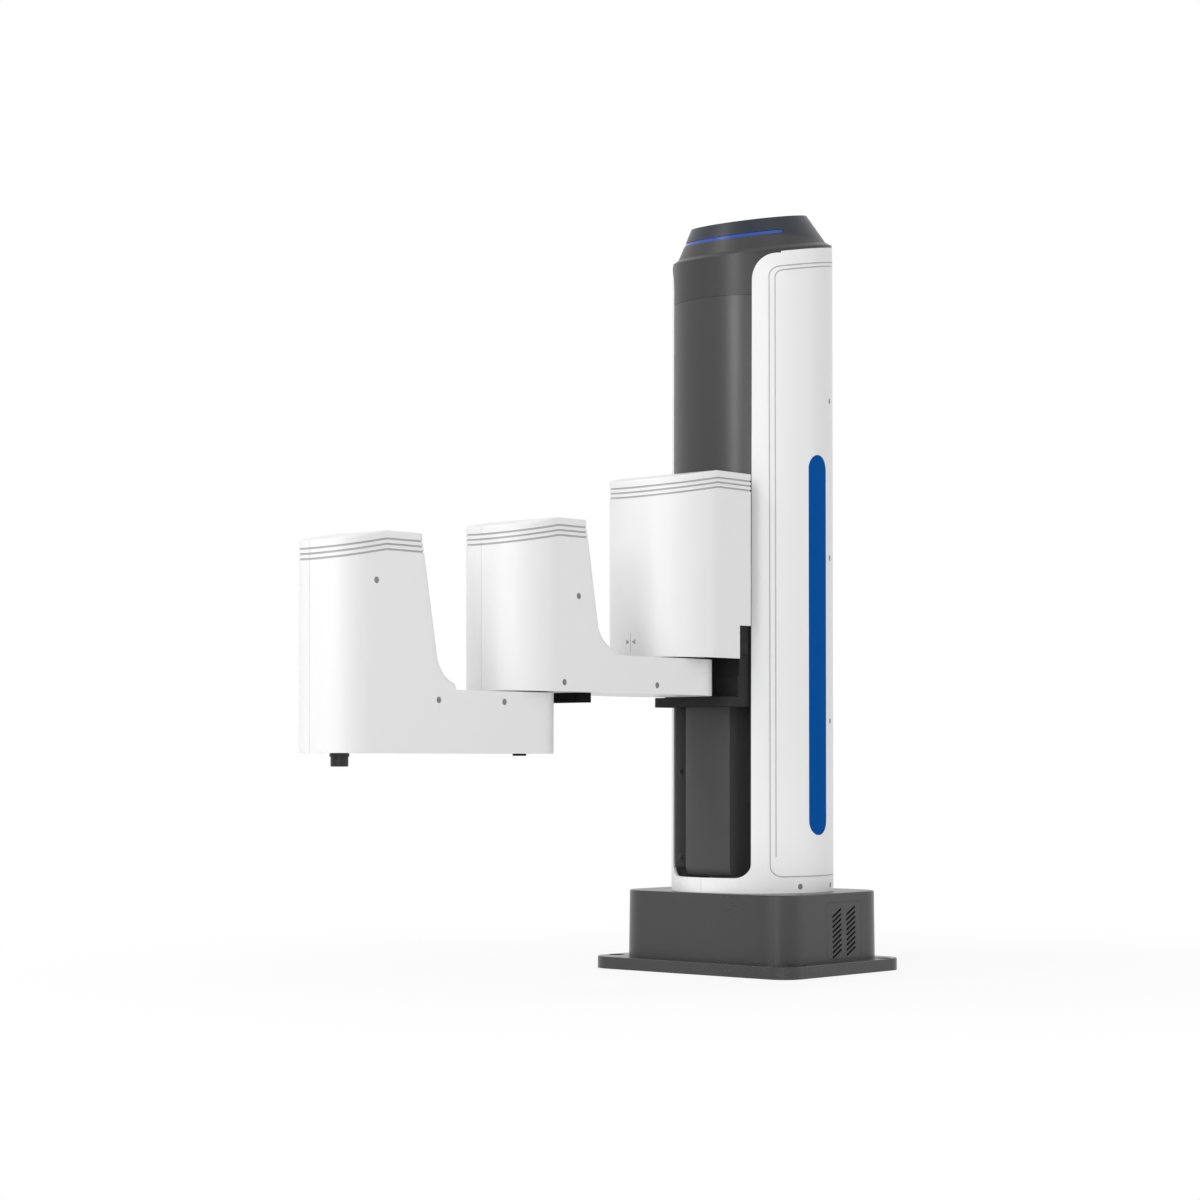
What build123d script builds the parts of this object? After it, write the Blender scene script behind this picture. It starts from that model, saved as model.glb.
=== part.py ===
from build123d import *
import os
from dataclasses import dataclass
from math import cos, radians, sin, sqrt, tan

# A desktop four-axis SCARA robot: a base, a column with a lifting carriage, two arms and a turning tool shaft.
# +X points forwards, the way the arms reach at home, +Y to the robot's left, +Z up. The origin is on the
# underside of the base plate, on the axis of the column. Sizes are in millimetres and angles in degrees.

os.makedirs("parts", exist_ok=True)

# Clearances shared by many pieces
fit_gap = 0.2
running_gap = 0.05
seat_gap = 0.3
seam_gap = 0.3

# Base plate
plate_front = 97.0
plate_rear = -80.0
plate_width = 231.0
plate_thickness = 11.0
plate_corner = 20.0
plate_edge = 0.6
mount_front_inset = 28.0
mount_rear_inset = 23.0
mount_side_inset = 9.5
mount_hole_d = 9.0
mount_head_d = 15.0
mount_head_depth = 5.0

# Base housing, measured at its top edge
housing_front = 78.5
housing_rear = -75.8
housing_width = 194.4
housing_top = 72.0
housing_wall = 3.0
housing_corner = 30.0
housing_draft = 0.8
housing_edge = 0.8
housing_boss_r = 7.5
housing_boss_top = 40.0
housing_screw_inset_x = 13.4
housing_screw_inset_y = 16.2

# Vent panels in both sides of the housing
vent_centre_x = -9.5
vent_length = 51.0
vent_bottom = 12.5
vent_top = 64.0
vent_corner = 5.0
vent_slot_rows = 9
vent_slot_pitch = 4.56
vent_slot_length = 15.6
vent_slot_width = 2.0
vent_slot_slope = 28.5
vent_column_x = (1.1, -20.0)
vent_column_z = (54.2, 55.6)

# Cooling fan behind the left vent panel
fan_size = 50.0
fan_thickness = 15.0
fan_bore_r = 23.0
fan_hub_r = 12.0
fan_blade_r = 21.5
fan_blade_count = 7
fan_z = 38.5

# Column casing: two half shells on a slightly tapered circle
casing_bottom_r = 74.6
casing_top_r = 73.5
casing_wall = 2.6
casing_top = 654.6
roof_tilt = 10.0
slot_half_width = 45.3
slot_bottom = 85.6
slot_corner = 13.0
flare_z = 621.0
flare_width = 17.6
flare_height = 25.4
casing_screw_angle = 110.6
casing_screw_z = (77.7, 227.2, 376.0, 519.0)
foot_screw_angle = 73.7

# Raised panel line on each side of the casing, and the blue stripe inside it
panel_half_length = 47.6
panel_bottom = 86.2
panel_drop = 12.8
panel_corner = 10.0
panel_line_width = 1.2
panel_line_depth = 0.6
panel_inner_inset = 4.3
panel_inner_drop = 16.4
panel_inner_bottom = 104.8
stripe_x = -2.5
stripe_width = 26.4
stripe_bottom = 123.8
stripe_top = 467.5
stripe_recess = 0.5
stripe_proud = 0.3

# Column structure
spine_rear = -48.0
spine_front = -34.0
spine_half_width = 36.0
spine_top = 640.0
spine_foot_height = 10.0
spine_foot_front = -12.0
spine_foot_rear = -60.0
spine_hole_z = (178.0, 300.0, 400.0, 560.0)
rail_y = 24.0
rail_width = 15.0
rail_height = 13.0
rib_thickness = 12.0
ring_inner_r = 61.0
liner_thickness = 1.0
liner_rear = 30.0
liner_front = 58.2
liner_top = 440.0
liner_screw_x = 49.8
liner_screw_z = (102.9, 180.6, 258.3, 336.0, 413.7)

# Cover strip down the middle of the slot
strip_r = 70.0
strip_half_width = 25.6
strip_wall = 1.5
strip_face = 2.2
strip_rear = 33.0
strip_bottom = 86.2
strip_top = 470.0
strip_bottom_r = 9.5

# Lifting screw, its supports and its motor
screw_x = 22.0
screw_d = 16.0
screw_journal_d = 12.0
screw_end_d = 10.0
support_half_width = 24.0
support_height = 16.0
lower_support_z = 76.0
upper_support_z = 455.0
coupling_d = 24.0
coupling_bottom = 475.0
coupling_top = 497.0
motor_shelf_z = 500.0
motor_shelf_thickness = 8.0
lift_motor_size = 56.0
lift_motor_height = 96.0
lift_motor_shaft_d = 8.0

# Head cap: a cone on an axis that leans forwards with the roof
apron_bottom = 608.5
head_lip = 657.3
head_ledge = 660.4
head_ledge_r = 68.0
head_top_r = 53.3
head_height = 26.1
head_wall = 2.6
light_height = 12.9
light_width = 3.7
light_groove_depth = 1.6
light_thickness = 1.1
light_arc = 133.4

# Carriage travel, counted from the pose in which the robot is modelled
lift_down = 148.0
lift_up = 102.0
carriage_bottom = 243.0
carriage_height = 100.0
carriage_rear = -10.0
carriage_front = 2.0
carriage_half_width = 42.0
block_length = 46.0
block_width = 34.0
block_rear = -29.7
nut_d = 28.0
nut_flange_d = 39.0
nut_flange_thickness = 8.0
nut_housing_bottom = 285.0
nut_housing_height = 40.0
nut_housing_half_width = 21.0
nut_housing_front = 42.0

# Shoulder bracket
leg_inner_y = 29.5
leg_outer_y = 42.5
leg_top = 337.0
leg_front = 67.4
bracket_bottom = 239.2
bracket_foot_thickness = 8.7
bracket_foot_front = 88.5
bracket_lip_front = 74.2
bracket_lip_top = 267.1
bracket_web_front = 72.8
bracket_clear_r = 71.2
shoulder_clear_r = 75.6
shoulder_back_front = 79.2
shelf_bottom = 286.0
shelf_thickness = 12.0

# Arm axes
joint1_x = 117.5
rear_arm_length = 200.0
forearm_length = 200.0
cover_wall = 2.5
groove_width = 1.6
groove_depth = 1.0
groove_drops = (6.6, 10.7, 14.8)
heel_run = 18.7
heel_rise = 21.5
heel_r = 28.0
heel_lip = 6.2
rear_edge_r = 5.5
roof_edge_r = 1.6
cover_screw_hole_d = 5.4
cover_screw_head_d = 5.0
cover_screw_shank_d = 3.0
cover_boss_d = 9.0

# Shoulder cover
shoulder_r = 54.0
shoulder_rear = 70.5
shoulder_bottom = 281.4
shoulder_roof = 445.8
shoulder_ridge_x = 116.8
notch_front = 86.0
notch_top = 310.8

# Shoulder drive
joint1_reducer_bottom = 282.0
joint1_reducer_d = 60.0
joint1_reducer_flange_d = 76.0
joint1_reducer_flange_height = 8.0
joint1_motor_d = 56.0
joint1_motor_height = 90.0
joint1_flange_d = 48.0

# Elbow drive
joint2_reducer_d = 52.0
joint2_reducer_flange_d = 68.0
joint2_reducer_flange_height = 7.0
joint2_motor_d = 54.0
joint2_motor_height = 83.0
joint2_flange_d = 36.0

# Stop block under the rear arm
stop_setback = 58.0
stop_length = 18.0
stop_half_width = 25.0
stop_bottom = 240.1

# Wrist drive and tool shaft
tool_shaft_d = 14.0
tool_shaft_bottom = 186.1
tool_shaft_top = 300.0
tool_collar_d = 15.6
tool_collar_height = 2.6
tool_thread_d = 5.0
tool_thread_depth = 14.0
bearing_d = 26.0
bearing_height = 9.0
wrist_motor_setback = 47.5
wrist_motor_size = 42.0
wrist_motor_height = 56.0
wrist_motor_shaft_d = 5.0
tool_pulley_d = 36.0
motor_pulley_d = 18.0
pulley_height = 13.0
pulley_flange = 2.4
pulley_flange_thickness = 1.2
belt_width = 9.4
belt_thickness = 1.6
plug_d = 11.4
plug_setback = 4.3
plug_height = 1.8


@dataclass
class ArmSize:
    """Outside of one arm: a level link with a tower over its front axis."""

    rear_axis: float
    front_axis: float
    half_width: float
    bottom: float
    link_top: float
    roof: float
    ridge_x: float
    lip_x: float
    rear_x: float
    rear_corner_r: float


joint2_x = joint1_x + rear_arm_length
joint4_x = joint2_x + forearm_length
rear_arm = ArmSize(
    rear_axis=joint1_x,
    front_axis=joint2_x,
    half_width=41.5,
    bottom=248.3,
    link_top=280.2,
    roof=392.2,
    ridge_x=joint2_x - 7.8,
    lip_x=joint2_x - 78.0,
    rear_x=joint1_x - 28.9,
    rear_corner_r=33.0,
)
forearm = ArmSize(
    rear_axis=joint2_x,
    front_axis=joint4_x,
    half_width=31.4,
    bottom=196.7,
    link_top=247.3,
    roof=369.9,
    ridge_x=joint4_x - 21.0,
    lip_x=joint4_x - 97.5,
    rear_x=joint2_x - 31.4,
    rear_corner_r=31.0,
)

wrist_motor_x = joint4_x - wrist_motor_setback
plug_x = joint2_x - plug_setback

# Screws that hold the arm covers, as distance along X and height
rear_arm_tower_screw = (joint2_x - 32.5, 328.0)
rear_arm_link_screws = ((joint2_x - 14.9, 255.9), (joint1_x + 66.5, 255.9))
forearm_screws = ((joint4_x - 10.1, 330.6), (joint4_x - 78.1, 238.9), (joint2_x + 46.5, 238.6))

# Sizes that follow from the ones above
plate_length = plate_front - plate_rear
plate_centre_x = (plate_front + plate_rear) / 2
housing_length = housing_front - housing_rear
housing_centre_x = (housing_front + housing_rear) / 2
mount_centre_x = plate_centre_x + (mount_rear_inset - mount_front_inset) / 2
mount_pitch_x = plate_length - mount_front_inset - mount_rear_inset
mount_pitch_y = plate_width - 2 * mount_side_inset
housing_screw_pitch_x = housing_length - 2 * housing_screw_inset_x
housing_screw_pitch_y = housing_width - 2 * housing_screw_inset_y
fan_face_y = housing_width / 2 - housing_wall - 0.1
carriage_top = carriage_bottom + carriage_height
front_cover_bottom = liner_top + 1.5
roof_slope = tan(radians(roof_tilt))


def casing_r(z):
    """Outer radius of the tapered casing at height z."""
    share = (z - housing_top) / (casing_top - housing_top)
    return casing_bottom_r + (casing_top_r - casing_bottom_r) * share


def roof_plane(z):
    """Plane that crosses the column axis at height z and falls towards the front."""
    tilt = radians(roof_tilt)
    return Plane(origin=(0, 0, z), x_dir=(cos(tilt), 0, -sin(tilt)), z_dir=(sin(tilt), 0, cos(tilt)))


def radial_plane(angle, z, r):
    """Plane at radius r round the column that faces outwards at the given angle."""
    turn = radians(angle)
    return Plane(
        origin=(r * cos(turn), r * sin(turn), z),
        x_dir=(-sin(turn), cos(turn), 0),
        z_dir=(cos(turn), sin(turn), 0),
    )


def side_plane(x, y, z, side):
    """Plane at a point on the left (+1) or right (-1) flank that faces outwards."""
    return Plane(origin=(x, y, z), x_dir=(1, 0, 0), z_dir=(0, side, 0))


def housing_outline(inset):
    """Length, width and corner radius at the foot of the drafted housing, inset inside its outside."""
    grow = 2 * (housing_top - plate_thickness) * tan(radians(housing_draft))
    length = housing_length - 2 * inset + grow
    width = housing_width - 2 * inset + grow
    return length, width, housing_corner - inset


# Base plate: a steel plate with four counterbored holes for the table screws
housing_screw_head_d = 9.0
housing_screw_head_depth = 5.5
housing_screw_shank_d = 5.0
housing_screw_length = 22.0
with BuildPart() as base_plate:
    with BuildSketch():
        with Locations((plate_centre_x, 0)):
            RectangleRounded(plate_length, plate_width, plate_corner)
    extrude(amount=plate_thickness)
    chamfer(base_plate.faces().sort_by(Axis.Z)[-1].edges(), plate_edge)
    with Locations((mount_centre_x, 0, plate_thickness)):
        with GridLocations(mount_pitch_x, mount_pitch_y, 2, 2):
            CounterBoreHole(mount_hole_d / 2, mount_head_d / 2, mount_head_depth)
    with Locations(Plane(origin=(housing_centre_x, 0, 0), z_dir=(0, 0, -1))):
        with GridLocations(housing_screw_pitch_x, housing_screw_pitch_y, 2, 2):
            CounterBoreHole(
                housing_screw_shank_d / 2 + fit_gap,
                housing_screw_head_d / 2 + fit_gap,
                housing_screw_head_depth,
            )
base_plate.part.label = "base_plate"
export_step(base_plate.part, "parts/base_plate.step")


# Base housing: a drafted box open below, with a round hole for the column and windows in three walls
window_half_width = 46.0
window_bottom = 20.0
window_top = 60.0
with BuildPart() as housing_wall_solid:
    with BuildSketch(Plane.XY.offset(plate_thickness)):
        with Locations((housing_centre_x, 0)):
            RectangleRounded(*housing_outline(0))
    extrude(amount=housing_top - plate_thickness, taper=housing_draft)
    chamfer(housing_wall_solid.faces().sort_by(Axis.Z)[-1].edges(), housing_edge)
    with BuildSketch(Plane.XY.offset(plate_thickness)):
        with Locations((housing_centre_x, 0)):
            RectangleRounded(*housing_outline(housing_wall))
    extrude(amount=housing_top - housing_wall - plate_thickness, taper=housing_draft, mode=Mode.SUBTRACT)

with BuildPart() as base_housing:
    add(housing_wall_solid.part)
    with Locations((housing_centre_x, 0, plate_thickness)):
        with GridLocations(housing_screw_pitch_x, housing_screw_pitch_y, 2, 2):
            Cylinder(
                housing_boss_r,
                housing_boss_top - plate_thickness,
                align=(Align.CENTER, Align.CENTER, Align.MIN),
            )
    with Locations((housing_centre_x, 0, plate_thickness)):
        with GridLocations(housing_screw_pitch_x, housing_screw_pitch_y, 2, 2):
            Cylinder(
                housing_screw_shank_d / 2,
                housing_screw_length - plate_thickness + housing_screw_head_depth,
                align=(Align.CENTER, Align.CENTER, Align.MIN),
                mode=Mode.SUBTRACT,
            )
    with BuildSketch(Plane.XY.offset(housing_top - housing_wall)):
        Circle(ring_inner_r + 2.0)
    extrude(amount=housing_wall, mode=Mode.SUBTRACT)
    with BuildSketch(Plane.XZ):
        with Locations((vent_centre_x, (vent_bottom + vent_top) / 2)):
            RectangleRounded(vent_length, vent_top - vent_bottom, vent_corner)
    extrude(amount=housing_width, both=True, mode=Mode.SUBTRACT)
    with BuildSketch(Plane.YZ):
        with Locations((0, (window_bottom + window_top) / 2)):
            RectangleRounded(2 * window_half_width, window_top - window_bottom, 4)
    extrude(amount=-housing_length, mode=Mode.SUBTRACT)
base_housing.part.label = "base_housing"
export_step(base_housing.part, "parts/base_housing.step")


# Vent panels: flush plates with two columns of slanted slots, one in each side wall
with BuildPart() as vent_panels:
    with BuildSketch(Plane.XZ):
        with Locations((vent_centre_x, (vent_bottom + vent_top) / 2)):
            RectangleRounded(
                vent_length - 2 * fit_gap, vent_top - vent_bottom - 2 * fit_gap, vent_corner - fit_gap
            )
        for column_x, column_z in zip(vent_column_x, vent_column_z):
            rows = [(column_x, column_z - row * vent_slot_pitch) for row in range(vent_slot_rows)]
            with Locations(*rows):
                SlotOverall(vent_slot_length, vent_slot_width, rotation=180 - vent_slot_slope, mode=Mode.SUBTRACT)
    extrude(amount=housing_width, both=True)
    add(housing_wall_solid.part, mode=Mode.INTERSECT)
vent_panels.part.label = "vent_panels"
export_step(vent_panels.part, "parts/vent_panels.step")


# Screws that pull the housing down on the plate from below, and the studs under the control board
board_x = 28.0
board_length = 60.0
board_right_y = -(spine_half_width + 5.0)
board_left_y = fan_face_y - fan_thickness - 20.1
board_y = (board_left_y + board_right_y) / 2
board_width = board_left_y - board_right_y
board_z = 22.0
board_thickness = 1.6
stud_inset = 5.0
with BuildPart() as base_fasteners:
    with Locations(Plane(origin=(housing_centre_x, 0, housing_screw_head_depth), z_dir=(0, 0, -1))):
        with GridLocations(housing_screw_pitch_x, housing_screw_pitch_y, 2, 2):
            Cylinder(
                housing_screw_head_d / 2,
                housing_screw_head_depth - 0.5,
                align=(Align.CENTER, Align.CENTER, Align.MIN),
            )
            Cylinder(
                housing_screw_shank_d / 2,
                housing_screw_length,
                align=(Align.CENTER, Align.CENTER, Align.MAX),
            )
    with BuildSketch(Plane.XY.offset(plate_thickness)):
        with Locations((board_x, board_y)):
            with GridLocations(board_length - 2 * stud_inset, board_width - 2 * stud_inset, 2, 2):
                RegularPolygon(3.2, 6)
    extrude(amount=board_z - plate_thickness)
base_fasteners.part.label = "base_fasteners"
export_step(base_fasteners.part, "parts/base_fasteners.step")


# Control board on its studs, with a heat sink, chips and terminal blocks
sink_y = board_y + 0.22 * board_width
sink_width = 0.36 * board_width
with BuildPart() as control_board:
    with BuildSketch(Plane.XY.offset(board_z)):
        with Locations((board_x, board_y)):
            RectangleRounded(board_length, board_width, 2)
    extrude(amount=board_thickness)
    with BuildSketch(Plane.XY.offset(board_z + board_thickness)):
        with Locations((board_x - 6, sink_y)):
            Rectangle(32, sink_width)
    extrude(amount=4)
    with BuildSketch(Plane.XY.offset(board_z + board_thickness + 4)):
        with Locations((board_x - 6, sink_y)):
            with GridLocations(4, 0, 8, 1):
                Rectangle(1.4, sink_width)
    extrude(amount=9)
    with BuildSketch(Plane.XY.offset(board_z + board_thickness)):
        with Locations((board_x, board_y - 0.12 * board_width)):
            with GridLocations(20, 0, 2, 1):
                Rectangle(13, 13)
    extrude(amount=1.8)
    with BuildSketch(Plane.XY.offset(board_z + board_thickness)):
        with Locations((board_x, board_y - 0.36 * board_width)):
            with GridLocations(16, 0, 3, 1):
                Rectangle(12, 9)
    extrude(amount=10)
control_board.part.label = "control_board"
export_step(control_board.part, "parts/control_board.step")


# Power supply: a closed metal box with a terminal strip, standing on the plate beside the right wall
supply_x = 5.0
supply_length = 84.0
supply_outer_y = housing_width / 2 - housing_wall - 9.2
supply_inner_y = spine_half_width + 13.0
supply_y = -(supply_outer_y + supply_inner_y) / 2
supply_width = supply_outer_y - supply_inner_y
terminal_length = 9.0
with BuildPart() as power_supply:
    with BuildSketch(Plane.XY.offset(plate_thickness)):
        with Locations((supply_x, supply_y)):
            RectangleRounded(supply_length, supply_width, 1.5)
    extrude(amount=38)
    with BuildSketch(Plane.XY.offset(plate_thickness)):
        with Locations((supply_x - (supply_length + terminal_length) / 2, supply_y)):
            Rectangle(terminal_length, supply_width - 5)
    extrude(amount=18)
power_supply.part.label = "power_supply"
export_step(power_supply.part, "parts/power_supply.step")


# Cooling fan: a square frame with a round bore and four struts that carry the hub motor
fan_plane = Plane(origin=(vent_centre_x, fan_face_y, fan_z), x_dir=(1, 0, 0), z_dir=(0, -1, 0))
strut_thickness = 4.0
fan_pin_d = 3.0
with BuildPart() as fan_frame:
    with BuildSketch(fan_plane):
        RectangleRounded(fan_size, fan_size, 3)
        Circle(fan_bore_r, mode=Mode.SUBTRACT)
        with GridLocations(fan_size - 8, fan_size - 8, 2, 2):
            Circle(2.1, mode=Mode.SUBTRACT)
    extrude(amount=fan_thickness)
    with BuildSketch(fan_plane.offset(fan_thickness - strut_thickness)):
        Circle(fan_hub_r)
        with PolarLocations(0, 4):
            with Locations((fan_bore_r / 2 + 1, 0)):
                Rectangle(fan_bore_r, 2.4)
    extrude(amount=strut_thickness)
    with BuildSketch(fan_plane.offset(2.0)):
        Circle(fan_pin_d / 2)
    extrude(amount=fan_thickness - 2.0)
fan_frame.part.label = "fan_frame"
export_step(fan_frame.part, "parts/fan_frame.step")


# Fan rotor: a cup hub with twisted blades, turning on the frame's pin
blade_depth = 9.0
with BuildPart() as fan_rotor:
    with BuildSketch(fan_plane.offset(1.0)):
        Circle(fan_hub_r)
        Circle(fan_pin_d / 2 + running_gap, mode=Mode.SUBTRACT)
    extrude(amount=fan_thickness - strut_thickness - 1.0 - seat_gap)
    with BuildSketch(fan_plane.offset(1.0)) as blade_foot:
        with PolarLocations(0, fan_blade_count):
            with Locations((fan_blade_r / 2 + fan_hub_r / 2 - 0.5, 0)):
                Rectangle(fan_blade_r - fan_hub_r + 1, 5, rotation=14)
    extrude(amount=blade_depth)
    with BuildSketch(fan_plane.offset(1.0)):
        Circle(fan_blade_r)
    extrude(amount=blade_depth + 2, mode=Mode.INTERSECT)
fan_rotor.part.label = "fan_rotor"
export_step(fan_rotor.part, "parts/fan_rotor.step")


# Connector panel: a plate behind the rear window that carries the inlet, the switch and the sockets
panel_outer_x = housing_rear + housing_wall + 0.1
panel_thickness = 2.0
panel_half_y = 50.0
inlet_y = -30.0
switch_y = -4.0
network_y = (18.0, 34.0)
io_y = 26.0
lower_row_z = 34.0
upper_row_z = 50.0
switch_z = 40.0
inlet_z = 40.0
inlet_width = 27.0
inlet_height = 20.0
switch_width = 15.0
switch_height = 24.0
network_size = 14.0
io_width = 32.0
io_height = 9.0
with BuildPart() as connector_panel:
    with BuildSketch(Plane.YZ.offset(panel_outer_x)):
        with Locations((0, (window_bottom + window_top) / 2)):
            RectangleRounded(2 * panel_half_y, window_top - window_bottom + 7, 3)
        with Locations((inlet_y, inlet_z)):
            Rectangle(inlet_width, inlet_height, mode=Mode.SUBTRACT)
        with Locations((switch_y, switch_z)):
            Rectangle(switch_width, switch_height, mode=Mode.SUBTRACT)
        with Locations(*[(y, upper_row_z) for y in network_y]):
            Rectangle(network_size, network_size, mode=Mode.SUBTRACT)
        with Locations((io_y, lower_row_z)):
            Rectangle(io_width, io_height, mode=Mode.SUBTRACT)
    extrude(amount=panel_thickness)
connector_panel.part.label = "connector_panel"
export_step(connector_panel.part, "parts/connector_panel.step")


# Power inlet: a three-pin socket with a flange outside the panel
flange_lap = 1.5
flange_thickness = 2.0
socket_depth = 14.0
inlet_depth = 15.6
with BuildPart() as power_inlet:
    with BuildSketch(Plane.YZ.offset(panel_outer_x - flange_thickness)):
        with Locations((inlet_y, inlet_z)):
            RectangleRounded(inlet_width + 2 * flange_lap, inlet_height + 2 * flange_lap, 2)
    extrude(amount=flange_thickness)
    with BuildSketch(Plane.YZ.offset(panel_outer_x)):
        with Locations((inlet_y, inlet_z)):
            Rectangle(inlet_width - fit_gap, inlet_height - fit_gap)
    extrude(amount=inlet_depth)
    with BuildSketch(Plane.YZ.offset(panel_outer_x - flange_thickness)):
        with Locations((inlet_y, inlet_z)):
            RectangleRounded(inlet_width - 5, inlet_height - 5, 3)
    extrude(amount=socket_depth, mode=Mode.SUBTRACT)
    with BuildSketch(Plane.YZ.offset(panel_outer_x - flange_thickness + socket_depth)):
        with Locations((inlet_y - 6, inlet_z), (inlet_y, inlet_z + 2), (inlet_y + 6, inlet_z)):
            Rectangle(2, 4)
    extrude(amount=-7)
power_inlet.part.label = "power_inlet"
export_step(power_inlet.part, "parts/power_inlet.step")


# Switch bezel: a snap-in frame with two side holes for the rocker's trunnions
rocker_pivot_x = panel_outer_x + 4.5
rocker_width = 10.6
rocker_swing = 7.0
trunnion_d = 2.4
bezel_bore_width = 11.4
bezel_bore_height = 20.0
bezel_depth = 16.0
with BuildPart() as switch_bezel:
    with BuildSketch(Plane.YZ.offset(panel_outer_x - flange_thickness)):
        with Locations((switch_y, switch_z)):
            RectangleRounded(switch_width + 2 * flange_lap, switch_height + 2 * flange_lap, 1.5)
    extrude(amount=flange_thickness)
    with BuildSketch(Plane.YZ.offset(panel_outer_x)):
        with Locations((switch_y, switch_z)):
            Rectangle(switch_width - fit_gap, switch_height - fit_gap)
    extrude(amount=bezel_depth)
    with BuildSketch(Plane.YZ.offset(panel_outer_x - flange_thickness)):
        with Locations((switch_y, switch_z)):
            Rectangle(bezel_bore_width, bezel_bore_height)
    extrude(amount=bezel_depth, mode=Mode.SUBTRACT)
    with BuildSketch(Plane.XZ.offset(-switch_y)):
        with Locations((rocker_pivot_x, switch_z)):
            Circle(trunnion_d / 2 + running_gap)
    extrude(amount=bezel_bore_width / 2 + 1.2, both=True, mode=Mode.SUBTRACT)
switch_bezel.part.label = "switch_bezel"
export_step(switch_bezel.part, "parts/switch_bezel.step")


# Power rocker: rests with its upper end pressed in and tips about its trunnions
rocker_face_x = panel_outer_x - 2.4
rocker_half_height = 8.3
with BuildPart() as power_rocker:
    with BuildSketch(Plane.XZ.offset(-switch_y)):
        with BuildLine():
            Polyline(
                (rocker_pivot_x + 2.2, switch_z - 5),
                (rocker_pivot_x + 2.2, switch_z + 5),
                (rocker_face_x, switch_z + rocker_half_height),
                (rocker_face_x + 1.4, switch_z),
                (rocker_face_x, switch_z - rocker_half_height),
                close=True,
            )
        make_face()
    extrude(amount=rocker_width / 2, both=True)
    with BuildSketch(Plane.XZ.offset(-switch_y)):
        with Locations((rocker_pivot_x, switch_z)):
            Circle(trunnion_d / 2)
    extrude(amount=bezel_bore_width / 2 + 1.0, both=True)
rocker_rest = power_rocker.part.rotate(
    Axis((rocker_pivot_x, switch_y, switch_z), (0, 1, 0)), -rocker_swing
)
rocker_rest.label = "power_rocker"
export_step(rocker_rest, "parts/power_rocker.step")


# Data sockets: two network jacks and a pluggable terminal header
jack_depth = 16.0
with BuildPart() as data_ports:
    with BuildSketch(Plane.YZ.offset(panel_outer_x - 1.0)):
        with Locations(*[(y, upper_row_z) for y in network_y]):
            Rectangle(network_size - fit_gap, network_size - fit_gap)
            Rectangle(network_size - 3, network_size - 4, mode=Mode.SUBTRACT)
        with Locations((io_y, lower_row_z)):
            Rectangle(io_width - fit_gap, io_height - fit_gap)
            Rectangle(io_width - 3, io_height - 3, mode=Mode.SUBTRACT)
    extrude(amount=jack_depth)
    with BuildSketch(Plane.YZ.offset(panel_outer_x - 1.0 + jack_depth - 3)):
        with Locations(*[(y, upper_row_z) for y in network_y]):
            Rectangle(network_size - 2, network_size - 3)
        with Locations((io_y, lower_row_z)):
            Rectangle(io_width - 2, io_height - 2)
    extrude(amount=3)
    with BuildSketch(Plane.YZ.offset(panel_outer_x - 1.0 + jack_depth - 3)):
        with Locations((io_y, lower_row_z)):
            with GridLocations(3.8, 0, 7, 1):
                Circle(0.6)
    extrude(amount=-6)
data_ports.part.label = "data_ports"
export_step(data_ports.part, "parts/data_ports.step")


# Spine: the upright steel plate that everything in the column is bolted to, on a foot that stands on the plate
with BuildPart() as column_spine:
    with BuildSketch(Plane.XY.offset(plate_thickness)):
        with Locations(((spine_foot_front + spine_foot_rear) / 2, 0)):
            RectangleRounded(spine_foot_front - spine_foot_rear, 2 * spine_half_width, 3)
        with Locations(((spine_foot_front + spine_foot_rear) / 2 + 12, 0)):
            with GridLocations(0, 52, 1, 2):
                Circle(3.3, mode=Mode.SUBTRACT)
    extrude(amount=spine_foot_height)
    with BuildSketch(Plane.XY.offset(plate_thickness + spine_foot_height)):
        with Locations(((spine_front + spine_rear) / 2, 0)):
            Rectangle(spine_front - spine_rear, 2 * spine_half_width)
    extrude(amount=spine_top - plate_thickness - spine_foot_height)
    with BuildSketch(Plane.YZ.offset(spine_front)):
        with Locations(*[(0, z) for z in spine_hole_z]):
            SlotCenterToCenter(34, 16, rotation=90)
    extrude(amount=spine_rear - spine_front, mode=Mode.SUBTRACT)
column_spine.part.label = "column_spine"
export_step(column_spine.part, "parts/column_spine.step")


# Guide rails: two ground rails with a waist, screwed to the front of the spine
rail_bottom = lower_support_z + support_height
rail_top = upper_support_z - 1.0
rail_waist = 2.0
with BuildPart() as guide_rails:
    with BuildSketch(Plane.XY.offset(rail_bottom)):
        with Locations((spine_front + rail_height / 2, -rail_y), (spine_front + rail_height / 2, rail_y)):
            Rectangle(rail_height, rail_width)
        for side in (-1, 1):
            with Locations((spine_front + rail_height / 2 + 1, side * rail_y)):
                with GridLocations(0, rail_width, 1, 2):
                    Rectangle(4, 2 * rail_waist, mode=Mode.SUBTRACT)
    extrude(amount=rail_top - rail_bottom)
    with Locations(Plane(origin=(spine_front + rail_height, 0, (rail_bottom + rail_top) / 2), z_dir=(1, 0, 0))):
        with GridLocations(2 * rail_y, 60, 2, 6):
            CounterBoreHole(2.25, 4.0, 4.5)
guide_rails.part.label = "guide_rails"
export_step(guide_rails.part, "parts/guide_rails.step")


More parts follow.
